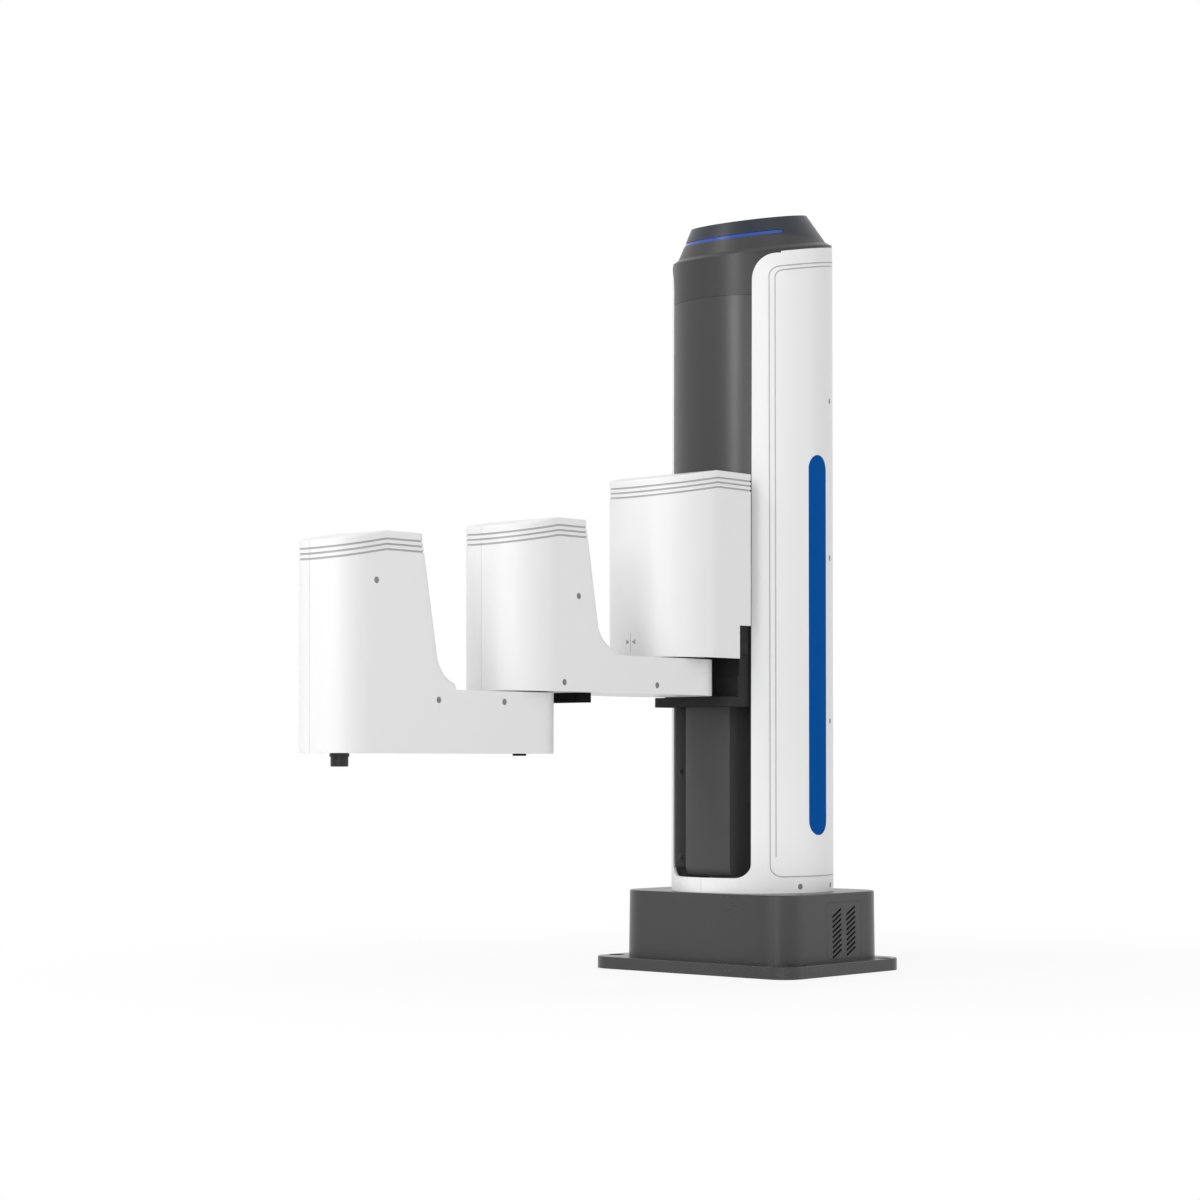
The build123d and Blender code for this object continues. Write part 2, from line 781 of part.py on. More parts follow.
# Screw supports: a lower and an upper bearing block for the lifting screw
support_front = 32.8
with BuildPart() as screw_supports:
    for height in (lower_support_z, upper_support_z):
        with BuildSketch(Plane.XY.offset(height)):
            with Locations(((spine_front + support_front) / 2, 0)):
                Rectangle(support_front - spine_front, 2 * support_half_width)
            with Locations((screw_x, 0)):
                Circle(screw_journal_d / 2 + running_gap, mode=Mode.SUBTRACT)
            with Locations((-12, 0)):
                RectangleRounded(26, 30, 4, mode=Mode.SUBTRACT)
        extrude(amount=support_height)
screw_supports.part.label = "screw_supports"
export_step(screw_supports.part, "parts/screw_supports.step")


# Lifting screw: a threaded shaft with a journal at each end and a thin end for the coupling
screw_bottom = 95.0
screw_top = 452.0
thread_pitch = 10.0
thread_depth = 0.9
with BuildPart() as ball_screw:
    with BuildSketch(Plane.XZ):
        with BuildLine():
            Polyline(
                (screw_x, lower_support_z - 2),
                (screw_x + screw_journal_d / 2, lower_support_z - 2),
                (screw_x + screw_journal_d / 2, screw_bottom),
                (screw_x + screw_d / 2, screw_bottom),
                (screw_x + screw_d / 2, screw_top),
                (screw_x + screw_journal_d / 2, screw_top),
                (screw_x + screw_journal_d / 2, upper_support_z + support_height + 2),
                (screw_x + screw_end_d / 2, upper_support_z + support_height + 2),
                (screw_x + screw_end_d / 2, coupling_bottom + 11),
                (screw_x, coupling_bottom + 11),
                close=True,
            )
        make_face()
        thread_count = int((screw_top - screw_bottom - 12) / thread_pitch)
        with Locations((screw_x + screw_d / 2, (screw_bottom + screw_top) / 2)):
            with GridLocations(0, thread_pitch, 1, thread_count):
                Circle(thread_depth, mode=Mode.SUBTRACT)
    revolve(axis=Axis((screw_x, 0, 0), (0, 0, 1)))
ball_screw.part.label = "ball_screw"
export_step(ball_screw.part, "parts/ball_screw.step")


# Shaft coupling: joins the screw to the motor shaft, with two clamp slits
with BuildPart() as shaft_coupling:
    with BuildSketch(Plane.XY.offset(coupling_bottom)):
        with Locations((screw_x, 0)):
            Circle(coupling_d / 2)
            Circle(screw_end_d / 2, mode=Mode.SUBTRACT)
    extrude(amount=coupling_top - coupling_bottom)
    with BuildSketch(Plane.XY.offset(coupling_bottom + 11)):
        with Locations((screw_x, 0)):
            Circle(screw_end_d / 2)
            Circle(lift_motor_shaft_d / 2, mode=Mode.SUBTRACT)
    extrude(amount=coupling_top - coupling_bottom - 11)
    with BuildSketch(Plane.XZ):
        with Locations((screw_x + coupling_d / 2, coupling_bottom + 5), (screw_x + coupling_d / 2, coupling_top - 5)):
            Rectangle(8, 0.8)
    extrude(amount=coupling_d, both=True, mode=Mode.SUBTRACT)
shaft_coupling.part.label = "shaft_coupling"
export_step(shaft_coupling.part, "parts/shaft_coupling.step")


# Lifting motor's shaft
with BuildPart() as z_motor_shaft:
    with BuildSketch(Plane.XY.offset(coupling_bottom + 12)):
        with Locations((screw_x, 0)):
            Circle(lift_motor_shaft_d / 2)
    extrude(amount=51)
z_motor_shaft.part.label = "z_motor_shaft"
export_step(z_motor_shaft.part, "parts/z_motor_shaft.step")


# Motor shelf: a plate on the spine with a round front edge just inside the front cover
shelf_r = casing_r(motor_shelf_z) - casing_wall - fit_gap
with BuildPart() as motor_mount:
    with BuildSketch(Plane.XY.offset(motor_shelf_z)):
        Circle(shelf_r)
        with Locations(((spine_front + shelf_r) / 2, 0)):
            Rectangle(shelf_r - spine_front, 80, mode=Mode.INTERSECT)
        with Locations((screw_x, 0)):
            Circle(coupling_d / 2 + 1, mode=Mode.SUBTRACT)
    extrude(amount=motor_shelf_thickness)
    with BuildSketch(Plane.XZ):
        with BuildLine():
            Polyline(
                (spine_front, motor_shelf_z - 26),
                (spine_front + 6, motor_shelf_z - 26),
                (spine_front + 26, motor_shelf_z),
                (spine_front, motor_shelf_z),
                close=True,
            )
        make_face()
    extrude(amount=30, both=True)
motor_mount.part.label = "motor_mount"
export_step(motor_mount.part, "parts/motor_mount.step")


# Lifting motor: a square body with a flange, ribs on its flanks and a cap
with BuildPart() as z_motor:
    with BuildSketch(Plane.XY.offset(motor_shelf_z + motor_shelf_thickness)):
        with Locations((screw_x, 0)):
            RectangleRounded(lift_motor_size, lift_motor_size, 4)
    extrude(amount=lift_motor_height)
    with BuildSketch(Plane.XY.offset(motor_shelf_z + motor_shelf_thickness + 9)):
        with Locations((screw_x, 0)):
            Rectangle(lift_motor_size + 2, lift_motor_size + 2)
            RectangleRounded(lift_motor_size - 4, lift_motor_size - 4, 8, mode=Mode.SUBTRACT)
    extrude(amount=4, mode=Mode.SUBTRACT)
    with BuildSketch(Plane.XY.offset(motor_shelf_z + motor_shelf_thickness + lift_motor_height - 22)):
        with Locations((screw_x, 0)):
            Rectangle(lift_motor_size + 2, lift_motor_size + 2)
            RectangleRounded(lift_motor_size - 4, lift_motor_size - 4, 8, mode=Mode.SUBTRACT)
    extrude(amount=4, mode=Mode.SUBTRACT)
    with BuildSketch(Plane.XY.offset(motor_shelf_z + motor_shelf_thickness)):
        with Locations((screw_x, 0)):
            Circle(lift_motor_shaft_d / 2 + seat_gap)
    extrude(amount=32, mode=Mode.SUBTRACT)
z_motor.part.label = "z_motor"
export_step(z_motor.part, "parts/z_motor.step")


# Casing ribs: a ring on the housing and arms from the spine that the casing halves are screwed to
ring_height = 12.0
rib_front = -16.0
rib_inner_y = 44.0
ring_screw_z = casing_screw_z[0]
rib_screw_z = casing_screw_z[1:]
screw_shank_r = 1.5
screw_reach = 10.0
with BuildPart() as casing_ribs:
    with BuildSketch(Plane.XY.offset(housing_top)):
        Circle(casing_r(housing_top + ring_height) - casing_wall - 0.1)
        Circle(ring_inner_r, mode=Mode.SUBTRACT)
    extrude(amount=ring_height)
    for height in rib_screw_z:
        with BuildSketch(Plane.XY.offset(height - rib_thickness / 2)):
            Circle(casing_r(height + rib_thickness / 2) - casing_wall - 0.1)
            with Locations((spine_rear / 2 + rib_front / 2, 0)):
                Rectangle(rib_front - spine_rear, 2 * casing_bottom_r, mode=Mode.INTERSECT)
                Rectangle(rib_front - spine_rear, 2 * rib_inner_y, mode=Mode.SUBTRACT)
            for side in (-1, 1):
                with Locations(((spine_front + spine_rear) / 2, side * (spine_half_width + rib_inner_y) / 2)):
                    Rectangle(spine_front - spine_rear, rib_inner_y - spine_half_width)
        extrude(amount=rib_thickness)
    for side in (-1, 1):
        rib_holes = [radial_plane(side * casing_screw_angle, z, casing_bottom_r) for z in casing_screw_z]
        with Locations(*rib_holes, radial_plane(side * foot_screw_angle, ring_screw_z, casing_bottom_r)):
            Cylinder(screw_shank_r, 2 * screw_reach + 8, mode=Mode.SUBTRACT)
casing_ribs.part.label = "casing_ribs"
export_step(casing_ribs.part, "parts/casing_ribs.step")


# Strip cover: a dark tongue down the middle of the slot that hides the lifting screw
def strip_solid(side_inset, front_inset):
    """Solid of the strip cover, inset at its sides and foot by one amount and in front by another."""
    front = strip_r - front_inset
    foot = strip_bottom + side_inset
    with BuildPart() as solid:
        with BuildSketch(Plane.XZ) as profile:
            with Locations((front / 2, (foot + strip_top) / 2)):
                Rectangle(front, strip_top - foot)
            fillet(profile.vertices().group_by(Axis.Y)[0].sort_by(Axis.X)[-1], strip_bottom_r - front_inset)
        revolve(axis=Axis.Z)
        with BuildSketch(Plane.XY.offset(foot)):
            with Locations(((strip_rear + strip_r) / 2, 0)):
                Rectangle(strip_r - strip_rear, 2 * (strip_half_width - side_inset))
        extrude(amount=strip_top - foot, mode=Mode.INTERSECT)
    return solid.part


with BuildPart() as strip_cover:
    add(strip_solid(0, 0))
    add(strip_solid(strip_wall, strip_face), mode=Mode.SUBTRACT)
strip_cover.part.label = "strip_cover"
export_step(strip_cover.part, "parts/strip_cover.step")


# Opening in the front of the casing, as an upright block that flares out near the top
def slot_block(gap):
    """Block that fills the front opening, smaller by gap on its sides."""
    top = casing_top + 60
    half_width = slot_half_width - gap
    with BuildPart() as block:
        with BuildSketch(Plane.YZ) as face:
            with Locations((0, (slot_bottom + top) / 2)):
                Rectangle(2 * half_width, top - slot_bottom)
            fillet(face.vertices().group_by(Axis.Y)[0], slot_corner)
            for side in (-1, 1):
                with Locations((side * (half_width + flare_width / 2), (flare_z + top) / 2)):
                    Rectangle(flare_width, top - flare_z)
                with Locations((side * (half_width + flare_width), flare_z)):
                    Ellipse(flare_width, flare_height + gap, mode=Mode.SUBTRACT)
        extrude(amount=casing_bottom_r + 10)
    return block.part


# Slot liners: two thin dark side walls just inside the front slot, with their lower corners rounded like its own
liner_y = slot_half_width - fit_gap - liner_thickness / 2
with BuildPart() as slot_liners:
    with BuildSketch(Plane.XY.offset(slot_bottom + 0.4)):
        for side in (-1, 1):
            with Locations(((liner_rear + liner_front) / 2, side * liner_y)):
                Rectangle(liner_front - liner_rear, liner_thickness)
    extrude(amount=liner_top - slot_bottom - 0.4)
    add(slot_block(fit_gap), mode=Mode.INTERSECT)
    with BuildSketch(Plane.XZ):
        with Locations(*[(liner_screw_x, z) for z in liner_screw_z]):
            Circle(1.3)
    extrude(amount=casing_bottom_r, both=True, mode=Mode.SUBTRACT)
slot_liners.part.label = "slot_liners"
export_step(slot_liners.part, "parts/slot_liners.step")


def casing_tube(outer_inset, inner_inset, bottom, top_plane):
    """Upright tapered tube between two insets from the casing's outside, cut off under the top plane."""
    high = casing_top + 60
    with BuildPart() as tube:
        with BuildSketch(Plane.XZ):
            with BuildLine():
                Polyline(
                    (casing_r(bottom) - inner_inset, bottom),
                    (casing_r(bottom) - outer_inset, bottom),
                    (casing_r(high) - outer_inset, high),
                    (casing_r(high) - inner_inset, high),
                    close=True,
                )
            make_face()
        revolve(axis=Axis.Z)
        split(bisect_by=roof_plane(top_plane), keep=Keep.BOTTOM)
    return tube.part


def panel_frame(drop, half_length, bottom):
    """Corner points of a panel outline whose upper edge runs parallel to the sloping roof."""
    top = casing_top - drop
    return [
        (-half_length, bottom),
        (half_length, bottom),
        (half_length, top - roof_slope * half_length),
        (-half_length, top + roof_slope * half_length),
    ]


# Panel lines: the outer rounded frame and the inner one that is open below
with BuildPart() as panel_lines:
    with BuildSketch(Plane.XZ) as outer_line:
        Polygon(*panel_frame(panel_drop, panel_half_length, panel_bottom), align=None)
        fillet(outer_line.vertices(), panel_corner)
        offset(amount=-panel_line_width, mode=Mode.SUBTRACT)
    extrude(amount=casing_bottom_r + 2, both=True)
    inner_half_length = panel_half_length - panel_inner_inset
    inner_foot = panel_inner_bottom - panel_corner
    with BuildSketch(Plane.XZ) as inner_line:
        Polygon(*panel_frame(panel_inner_drop, inner_half_length, inner_foot), align=None)
        fillet(inner_line.vertices().group_by(Axis.Y)[1:], panel_corner - 2)
        offset(amount=-panel_line_width, mode=Mode.SUBTRACT)
        with Locations((0, inner_foot)):
            Rectangle(2 * panel_half_length, 2 * panel_corner, mode=Mode.SUBTRACT)
    extrude(amount=casing_bottom_r + 2, both=True)
    add(casing_tube(-1.0, panel_line_depth, housing_top, casing_top + 5), mode=Mode.INTERSECT)


def stripe_layer(gap, outer_inset, inner_inset):
    """Long rounded layer on both flanks between two insets from the casing's outside, wider by gap all round."""
    with BuildPart() as layer:
        with BuildSketch(Plane.XZ):
            with Locations((stripe_x, (stripe_bottom + stripe_top) / 2)):
                SlotOverall(stripe_top - stripe_bottom + 2 * gap, stripe_width + 2 * gap, rotation=90)
        extrude(amount=casing_bottom_r + 4, both=True)
        add(casing_tube(outer_inset, inner_inset, housing_top, casing_top), mode=Mode.INTERSECT)
    return layer.part


# Left casing half: a long shell with the slot edge in front, the panel lines and recessed screw holes
casing_screw_recess = 1.5
with BuildPart() as casing_left:
    add(casing_tube(0, casing_wall, housing_top, casing_top))
    add(slot_block(0), mode=Mode.SUBTRACT)
    split(bisect_by=Plane.XZ.offset(-seam_gap / 2), keep=Keep.BOTTOM)
    add(panel_lines.part, mode=Mode.SUBTRACT)
    add(stripe_layer(0.1, -1.0, stripe_recess), mode=Mode.SUBTRACT)
    with Locations(
        *[radial_plane(casing_screw_angle, z, casing_r(z)) for z in casing_screw_z],
        radial_plane(foot_screw_angle, ring_screw_z, casing_r(ring_screw_z)),
    ):
        Cylinder(cover_screw_hole_d / 2, 2 * casing_screw_recess, mode=Mode.SUBTRACT)
        Cylinder(screw_shank_r + 0.1, 4 * casing_wall, mode=Mode.SUBTRACT)
casing_left.part.label = "casing_left"
export_step(casing_left.part, "parts/casing_left.step")


# Right casing half: the mirror image of the left one
with BuildPart() as casing_right:
    add(casing_left.part)
    mirror(about=Plane.XZ, mode=Mode.REPLACE)
casing_right.part.label = "casing_right"
export_step(casing_right.part, "parts/casing_right.step")


# Blue stripes: long rounded inlays in shallow recesses on both flanks of the casing
with BuildPart() as side_stripes:
    add(stripe_layer(0, -stripe_proud, stripe_recess))
side_stripes.part.label = "side_stripes"
export_step(side_stripes.part, "parts/side_stripes.step")


# Casing screws: socket heads sunk in the casing, and the small button heads on the slot liners
screw_head_height = 1.1
liner_head_height = 1.0
with BuildPart() as casing_screws:
    for side in (-1, 1):
        seats = [
            radial_plane(side * casing_screw_angle, z, casing_r(z) - casing_screw_recess) for z in casing_screw_z
        ]
        seats.append(radial_plane(side * foot_screw_angle, ring_screw_z, casing_r(ring_screw_z) - casing_screw_recess))
        with Locations(*seats):
            Cylinder(cover_screw_head_d / 2, screw_head_height, align=(Align.CENTER, Align.CENTER, Align.MIN))
            Cylinder(screw_shank_r, screw_reach, align=(Align.CENTER, Align.CENTER, Align.MAX))
            Cylinder(1.2, 2, align=(Align.CENTER, Align.CENTER, Align.CENTER), mode=Mode.SUBTRACT)
        inner_face = side * (liner_y - liner_thickness / 2)
        with Locations(*[side_plane(liner_screw_x, inner_face, z, -side) for z in liner_screw_z]):
            Cylinder(2.2, liner_head_height, align=(Align.CENTER, Align.CENTER, Align.MIN))
            Cylinder(1.3, liner_thickness, align=(Align.CENTER, Align.CENTER, Align.MAX))
casing_screws.part.label = "casing_screws"
export_step(casing_screws.part, "parts/casing_screws.step")


# Front cover: the dark curved panel that closes the slot above the carriage
with BuildPart() as front_cover:
    add(casing_tube(fit_gap, casing_wall, housing_top, casing_top))
    add(slot_block(fit_gap), mode=Mode.INTERSECT)
    split(bisect_by=Plane.XY.offset(front_cover_bottom), keep=Keep.TOP)
    split(bisect_by=Plane.XY.offset(apron_bottom - fit_gap), keep=Keep.BOTTOM)
front_cover.part.label = "front_cover"
export_step(front_cover.part, "parts/front_cover.step")


# Head cap: lip and ledge on the casing, the leaning cone above and an apron that fills the flared opening
cone_angle = 29.4
head_centre_x = 0.6
lip_bottom = casing_top + fit_gap
lip_r = 72.9
lip_plane = roof_plane(head_lip)
ledge_plane = roof_plane(head_ledge)
head_plane = Plane(
    origin=ledge_plane.from_local_coords((head_centre_x, 0, 0)),
    x_dir=ledge_plane.x_dir,
    z_dir=ledge_plane.z_dir,
)
neck_r = casing_top_r - casing_wall - 0.4
neck_height = 12.0


def head_section(azimuth):
    """Plane through the head's leaning axis; x runs outwards at the azimuth and y up the axis."""
    turn = radians(azimuth)
    outwards = head_plane.x_dir * cos(turn) + head_plane.y_dir * sin(turn)
    return Plane(origin=head_plane.origin, x_dir=outwards, z_dir=outwards.cross(head_plane.z_dir))


with BuildPart() as head_neck:
    with BuildSketch(Plane.XY.offset(lip_bottom - 50)):
        Circle(neck_r)
        Circle(neck_r - head_wall, mode=Mode.SUBTRACT)
    extrude(amount=100)
    split(bisect_by=roof_plane(lip_bottom - neck_height), keep=Keep.TOP)
    split(bisect_by=roof_plane(lip_bottom + 0.5), keep=Keep.BOTTOM)

with BuildPart() as head_apron:
    add(casing_tube(fit_gap, casing_wall, apron_bottom, lip_bottom + 0.5))
    add(slot_block(fit_gap), mode=Mode.INTERSECT)

with BuildPart() as head_hollow:
    with BuildSketch(Plane.XY.offset(lip_bottom - 50)):
        Circle(neck_r - 2 * head_wall)
    extrude(amount=100)
    split(bisect_by=roof_plane(head_ledge + 0.2), keep=Keep.BOTTOM)
    with BuildSketch(head_plane):
        Circle(head_ledge_r - 1.2 * head_wall)
    extrude(amount=head_height - head_wall, taper=cone_angle)

with BuildPart() as head_cap:
    with BuildSketch(Plane.XY.offset(lip_bottom - 50)):
        Circle(lip_r)
    extrude(amount=100)
    split(bisect_by=lip_plane, keep=Keep.BOTTOM)
    split(bisect_by=roof_plane(lip_bottom), keep=Keep.TOP)
    with BuildSketch(lip_plane):
        Ellipse((lip_r - 0.8) / cos(radians(roof_tilt)), lip_r - 0.8)
    with BuildSketch(head_plane):
        Circle(head_ledge_r)
    loft(ruled=True)
    with BuildSketch(head_plane):
        Circle(head_ledge_r)
    extrude(amount=head_height, taper=cone_angle)
    add(head_hollow.part, mode=Mode.SUBTRACT)
    add(head_neck.part)
    add(head_apron.part)
    with BuildSketch(head_section(-light_arc / 2)):
        with Locations((head_ledge_r - light_height * tan(radians(cone_angle)), light_height)):
            Rectangle(2 * light_groove_depth, light_width, rotation=cone_angle)
    revolve(axis=Axis(head_plane.origin, head_plane.z_dir), revolution_arc=light_arc, mode=Mode.SUBTRACT)
head_cap.part.label = "head_cap"
export_step(head_cap.part, "parts/head_cap.step")


# Light strip: a blue bar lying in the groove round the front of the head
light_inset = light_groove_depth - light_thickness / 2
light_gap_angle = 0.2
with BuildPart() as light_strip:
    with BuildSketch(head_section(-light_arc / 2 + light_gap_angle)):
        strip_x = head_ledge_r - light_height * tan(radians(cone_angle)) - light_inset * cos(radians(cone_angle))
        strip_y = light_height - light_inset * sin(radians(cone_angle))
        with Locations((strip_x, strip_y)):
            Rectangle(light_thickness, light_width - 0.1, rotation=cone_angle)
    revolve(
        axis=Axis(head_plane.origin, head_plane.z_dir), revolution_arc=light_arc - 2 * light_gap_angle
    )
light_strip.part.label = "light_strip"
export_step(light_strip.part, "parts/light_strip.step")


# Carriage plate: the upright plate that rides on the rails and carries the nut and the bracket
with BuildPart() as carriage_plate:
    with BuildSketch(Plane.YZ.offset(carriage_rear)):
        with Locations((0, carriage_bottom + carriage_height / 2)):
            RectangleRounded(2 * carriage_half_width, carriage_height, 4)
            with GridLocations(2 * rail_y, carriage_height - 20, 2, 2):
                Circle(2.6, mode=Mode.SUBTRACT)
    extrude(amount=carriage_front - carriage_rear)
carriage_plate.part.label = "carriage_plate"
export_step(carriage_plate.part, "parts/carriage_plate.step")


# Guide blocks: four runners that straddle the rails
block_rows = (carriage_bottom + 2, carriage_top - 2 - block_length)
with BuildPart() as guide_blocks:
    for block_z in block_rows:
        with BuildSketch(Plane.XY.offset(block_z)):
            for side in (-1, 1):
                with Locations(((block_rear + carriage_rear) / 2, side * rail_y)):
                    Rectangle(carriage_rear - block_rear, block_width)
                with Locations((spine_front + rail_height / 2, side * rail_y)):
                    Rectangle(rail_height + 2 * seat_gap, rail_width + 2 * seat_gap, mode=Mode.SUBTRACT)
        extrude(amount=block_length)
guide_blocks.part.label = "guide_blocks"
export_step(guide_blocks.part, "parts/guide_blocks.step")


# Nut housing: a block on the carriage plate, bored for the nut's body
nut_top = nut_housing_bottom + nut_housing_height
with BuildPart() as nut_housing:
    with BuildSketch(Plane.XY.offset(nut_housing_bottom)):
        with Locations(((carriage_front + nut_housing_front) / 2, 0)):
            RectangleRounded(nut_housing_front - carriage_front, 2 * nut_housing_half_width, 3)
        with Locations((screw_x, 0)):
            Circle(nut_d / 2 + 0.1, mode=Mode.SUBTRACT)
    extrude(amount=nut_housing_height)
nut_housing.part.label = "nut_housing"
export_step(nut_housing.part, "parts/nut_housing.step")


# Ball nut: a flanged nut round the screw
with BuildPart() as ball_nut:
    with BuildSketch(Plane.XY.offset(nut_housing_bottom)):
        with Locations((screw_x, 0)):
            Circle(nut_d / 2)
    extrude(amount=nut_housing_height)
    with BuildSketch(Plane.XY.offset(nut_top)):
        with Locations((screw_x, 0)):
            Circle(nut_flange_d / 2)
            with PolarLocations(nut_d / 2 + 2.8, 6, start_angle=30):
                Circle(1.8, mode=Mode.SUBTRACT)
    extrude(amount=nut_flange_thickness)
    with BuildSketch(Plane.XY.offset(nut_housing_bottom)):
        with Locations((screw_x, 0)):
            Circle(screw_d / 2 + seat_gap)
    extrude(amount=nut_housing_height + nut_flange_thickness, mode=Mode.SUBTRACT)
ball_nut.part.label = "ball_nut"
export_step(ball_nut.part, "parts/ball_nut.step")


# Shoulder bracket: two legs that reach out through the slot, a foot plate, a back plate and a shelf
leg_y = (leg_inner_y + leg_outer_y) / 2
leg_thickness = leg_outer_y - leg_inner_y
shelf_top = shelf_bottom + shelf_thickness
shelf_r = shoulder_r - cover_wall - 7.5
shelf_rear = 62.0
back_rear = shoulder_rear + seat_gap
gusset_height = 82.0
with BuildPart() as bracket_front:
    with BuildSketch(Plane.XY.offset(bracket_bottom)):
        with Locations(((shelf_rear + bracket_foot_front) / 2, 0)):
            Rectangle(bracket_foot_front - shelf_rear, 2 * leg_outer_y)
    extrude(amount=bracket_foot_thickness)
    with BuildSketch(Plane.XY.offset(bracket_bottom)):
        with Locations(((shelf_rear + bracket_lip_front) / 2, 0)):
            Rectangle(bracket_lip_front - shelf_rear, 2 * leg_outer_y)
    extrude(amount=bracket_lip_top - bracket_bottom)
    with BuildSketch(Plane.XY.offset(bracket_lip_top)):
        with Locations(((shelf_rear + bracket_web_front) / 2, 0)):
            Rectangle(bracket_web_front - shelf_rear, 2 * leg_outer_y)
    extrude(amount=shelf_bottom - bracket_lip_top)
    with BuildSketch(Plane.XY.offset(bracket_bottom - 1)):
        Circle(bracket_clear_r)
    extrude(amount=shelf_bottom - bracket_bottom + 2, mode=Mode.SUBTRACT)

with BuildPart() as bracket_back:
    with BuildSketch(Plane.XY.offset(shelf_bottom)):
        with Locations((joint1_x, 0)):
            Circle(shelf_r)
        with Locations(((shelf_rear + joint1_x) / 2, 0)):
            Rectangle(joint1_x - shelf_rear, 2 * shelf_r)
    extrude(amount=shelf_thickness)
    with BuildSketch(Plane.XY.offset(shelf_bottom)):
        with Locations(((shelf_rear + shoulder_back_front) / 2, 0)):
            Rectangle(shoulder_back_front - shelf_rear, 2 * leg_outer_y)
    extrude(amount=notch_top - shelf_bottom + 1)
    with BuildSketch(Plane.XY.offset(notch_top + 1)):
        with Locations(((back_rear + shoulder_back_front) / 2, 0)):
            Rectangle(shoulder_back_front - back_rear, 2 * (shoulder_r - cover_wall - fit_gap))
    extrude(amount=shoulder_roof - notch_top - 8)
    with BuildSketch(Plane.XZ):
        with BuildLine():
            Polyline(
                (shoulder_back_front, shelf_top),
                (joint1_x, shelf_top),
                (shoulder_back_front + 8, shelf_top + gusset_height),
                (shoulder_back_front, shelf_top + gusset_height),
                close=True,
            )
        make_face()
    extrude(amount=shelf_r, both=True)
    with BuildSketch(Plane.XY.offset(shelf_top)):
        with Locations((joint1_x, 0)):
            Rectangle(2 * (joint1_x - shoulder_back_front), 2 * (joint1_reducer_flange_d / 2 + 0.6))
    extrude(amount=gusset_height, mode=Mode.SUBTRACT)
    with BuildSketch(Plane.XY.offset(shelf_bottom)):
        Circle(shoulder_clear_r)
    extrude(amount=shoulder_roof - shelf_bottom, mode=Mode.SUBTRACT)

with BuildPart() as shoulder_bracket:
    add(bracket_front.part)
    add(bracket_back.part)
    with BuildSketch(Plane.XY.offset(bracket_bottom)):
        for side in (-1, 1):
            with Locations(((carriage_front + leg_front) / 2, side * leg_y)):
                Rectangle(leg_front - carriage_front, leg_thickness)
    extrude(amount=leg_top - bracket_bottom)
    with BuildSketch(Plane.XY.offset(shelf_bottom)):
        for side in (-1, 1):
            with Locations(((shelf_rear + shoulder_back_front) / 2, side * leg_y)):
                Rectangle(shoulder_back_front - shelf_rear, leg_thickness)
    extrude(amount=leg_top - shelf_bottom)
    with BuildSketch(Plane.XY.offset(shelf_bottom)):
        with Locations((joint1_x, 0)):
            Circle(joint1_reducer_d / 2 + running_gap)
    extrude(amount=shelf_thickness, mode=Mode.SUBTRACT)
    with BuildSketch(Plane.XZ):
        with Locations(((carriage_front + leg_front) / 2 - 6, (bracket_bottom + leg_top) / 2)):
            SlotCenterToCenter(44, 22, rotation=90)
    extrude(amount=leg_outer_y + 1, both=True, mode=Mode.SUBTRACT)
shoulder_bracket.part.label = "shoulder_bracket"
export_step(shoulder_bracket.part, "parts/shoulder_bracket.step")


# Shoulder reducer: a flanged gear unit that hangs in the shelf's bore
spigot_d = 24.0
spigot_height = 10.0
with BuildPart() as j1_reducer:
    with BuildSketch(Plane.XY.offset(joint1_reducer_bottom)):
        with Locations((joint1_x, 0)):
            Circle(joint1_reducer_d / 2)
    extrude(amount=shelf_top - joint1_reducer_bottom)
    with BuildSketch(Plane.XY.offset(shelf_top)):
        with Locations((joint1_x, 0)):
            Circle(joint1_reducer_flange_d / 2)
            with PolarLocations(joint1_reducer_flange_d / 2 - 4, 8):
                Circle(2.2, mode=Mode.SUBTRACT)
    extrude(amount=joint1_reducer_flange_height)
    with BuildSketch(Plane.XY.offset(joint1_reducer_bottom)):
        with Locations((joint1_x, 0)):
            Circle(spigot_d / 2 + running_gap)
    extrude(amount=spigot_height + 1, mode=Mode.SUBTRACT)
j1_reducer.part.label = "j1_reducer"
export_step(j1_reducer.part, "parts/j1_reducer.step")


# Shoulder motor: a round servo on the reducer with an encoder cap
joint1_motor_bottom = shelf_top + joint1_reducer_flange_height
with BuildPart() as j1_motor:
    with BuildSketch(Plane.XY.offset(joint1_motor_bottom)):
        with Locations((joint1_x, 0)):
            Circle(joint1_motor_d / 2)
    extrude(amount=joint1_motor_height - 20)
    with BuildSketch(Plane.XY.offset(joint1_motor_bottom + joint1_motor_height - 20)):
        with Locations((joint1_x, 0)):
            Circle(joint1_motor_d / 2 - 3)
    extrude(amount=20)
j1_motor.part.label = "j1_motor"
export_step(j1_motor.part, "parts/j1_motor.step")


# Shoulder cover: a D-shaped hood over the shoulder drive, open below and behind
def shoulder_block(inset):
    """Solid of the shoulder hood, inset inside its outside."""
    r = shoulder_r - inset
    with BuildPart() as block:
        with BuildSketch(Plane.XY.offset(shoulder_bottom)):
            with Locations((joint1_x, 0)):
                Circle(r)
            with Locations(((shoulder_rear + joint1_x) / 2, 0)):
                Rectangle(joint1_x - shoulder_rear, 2 * r)
        extrude(amount=shoulder_roof - shoulder_bottom)
        with BuildSketch(Plane.XZ):
            with BuildLine():
                Polyline(*roof_outline(shoulder_rear, shoulder_ridge_x, joint1_x + shoulder_r, shoulder_roof, inset))
            make_face()
        extrude(amount=shoulder_r + 1, both=True, mode=Mode.INTERSECT)
    return block.part


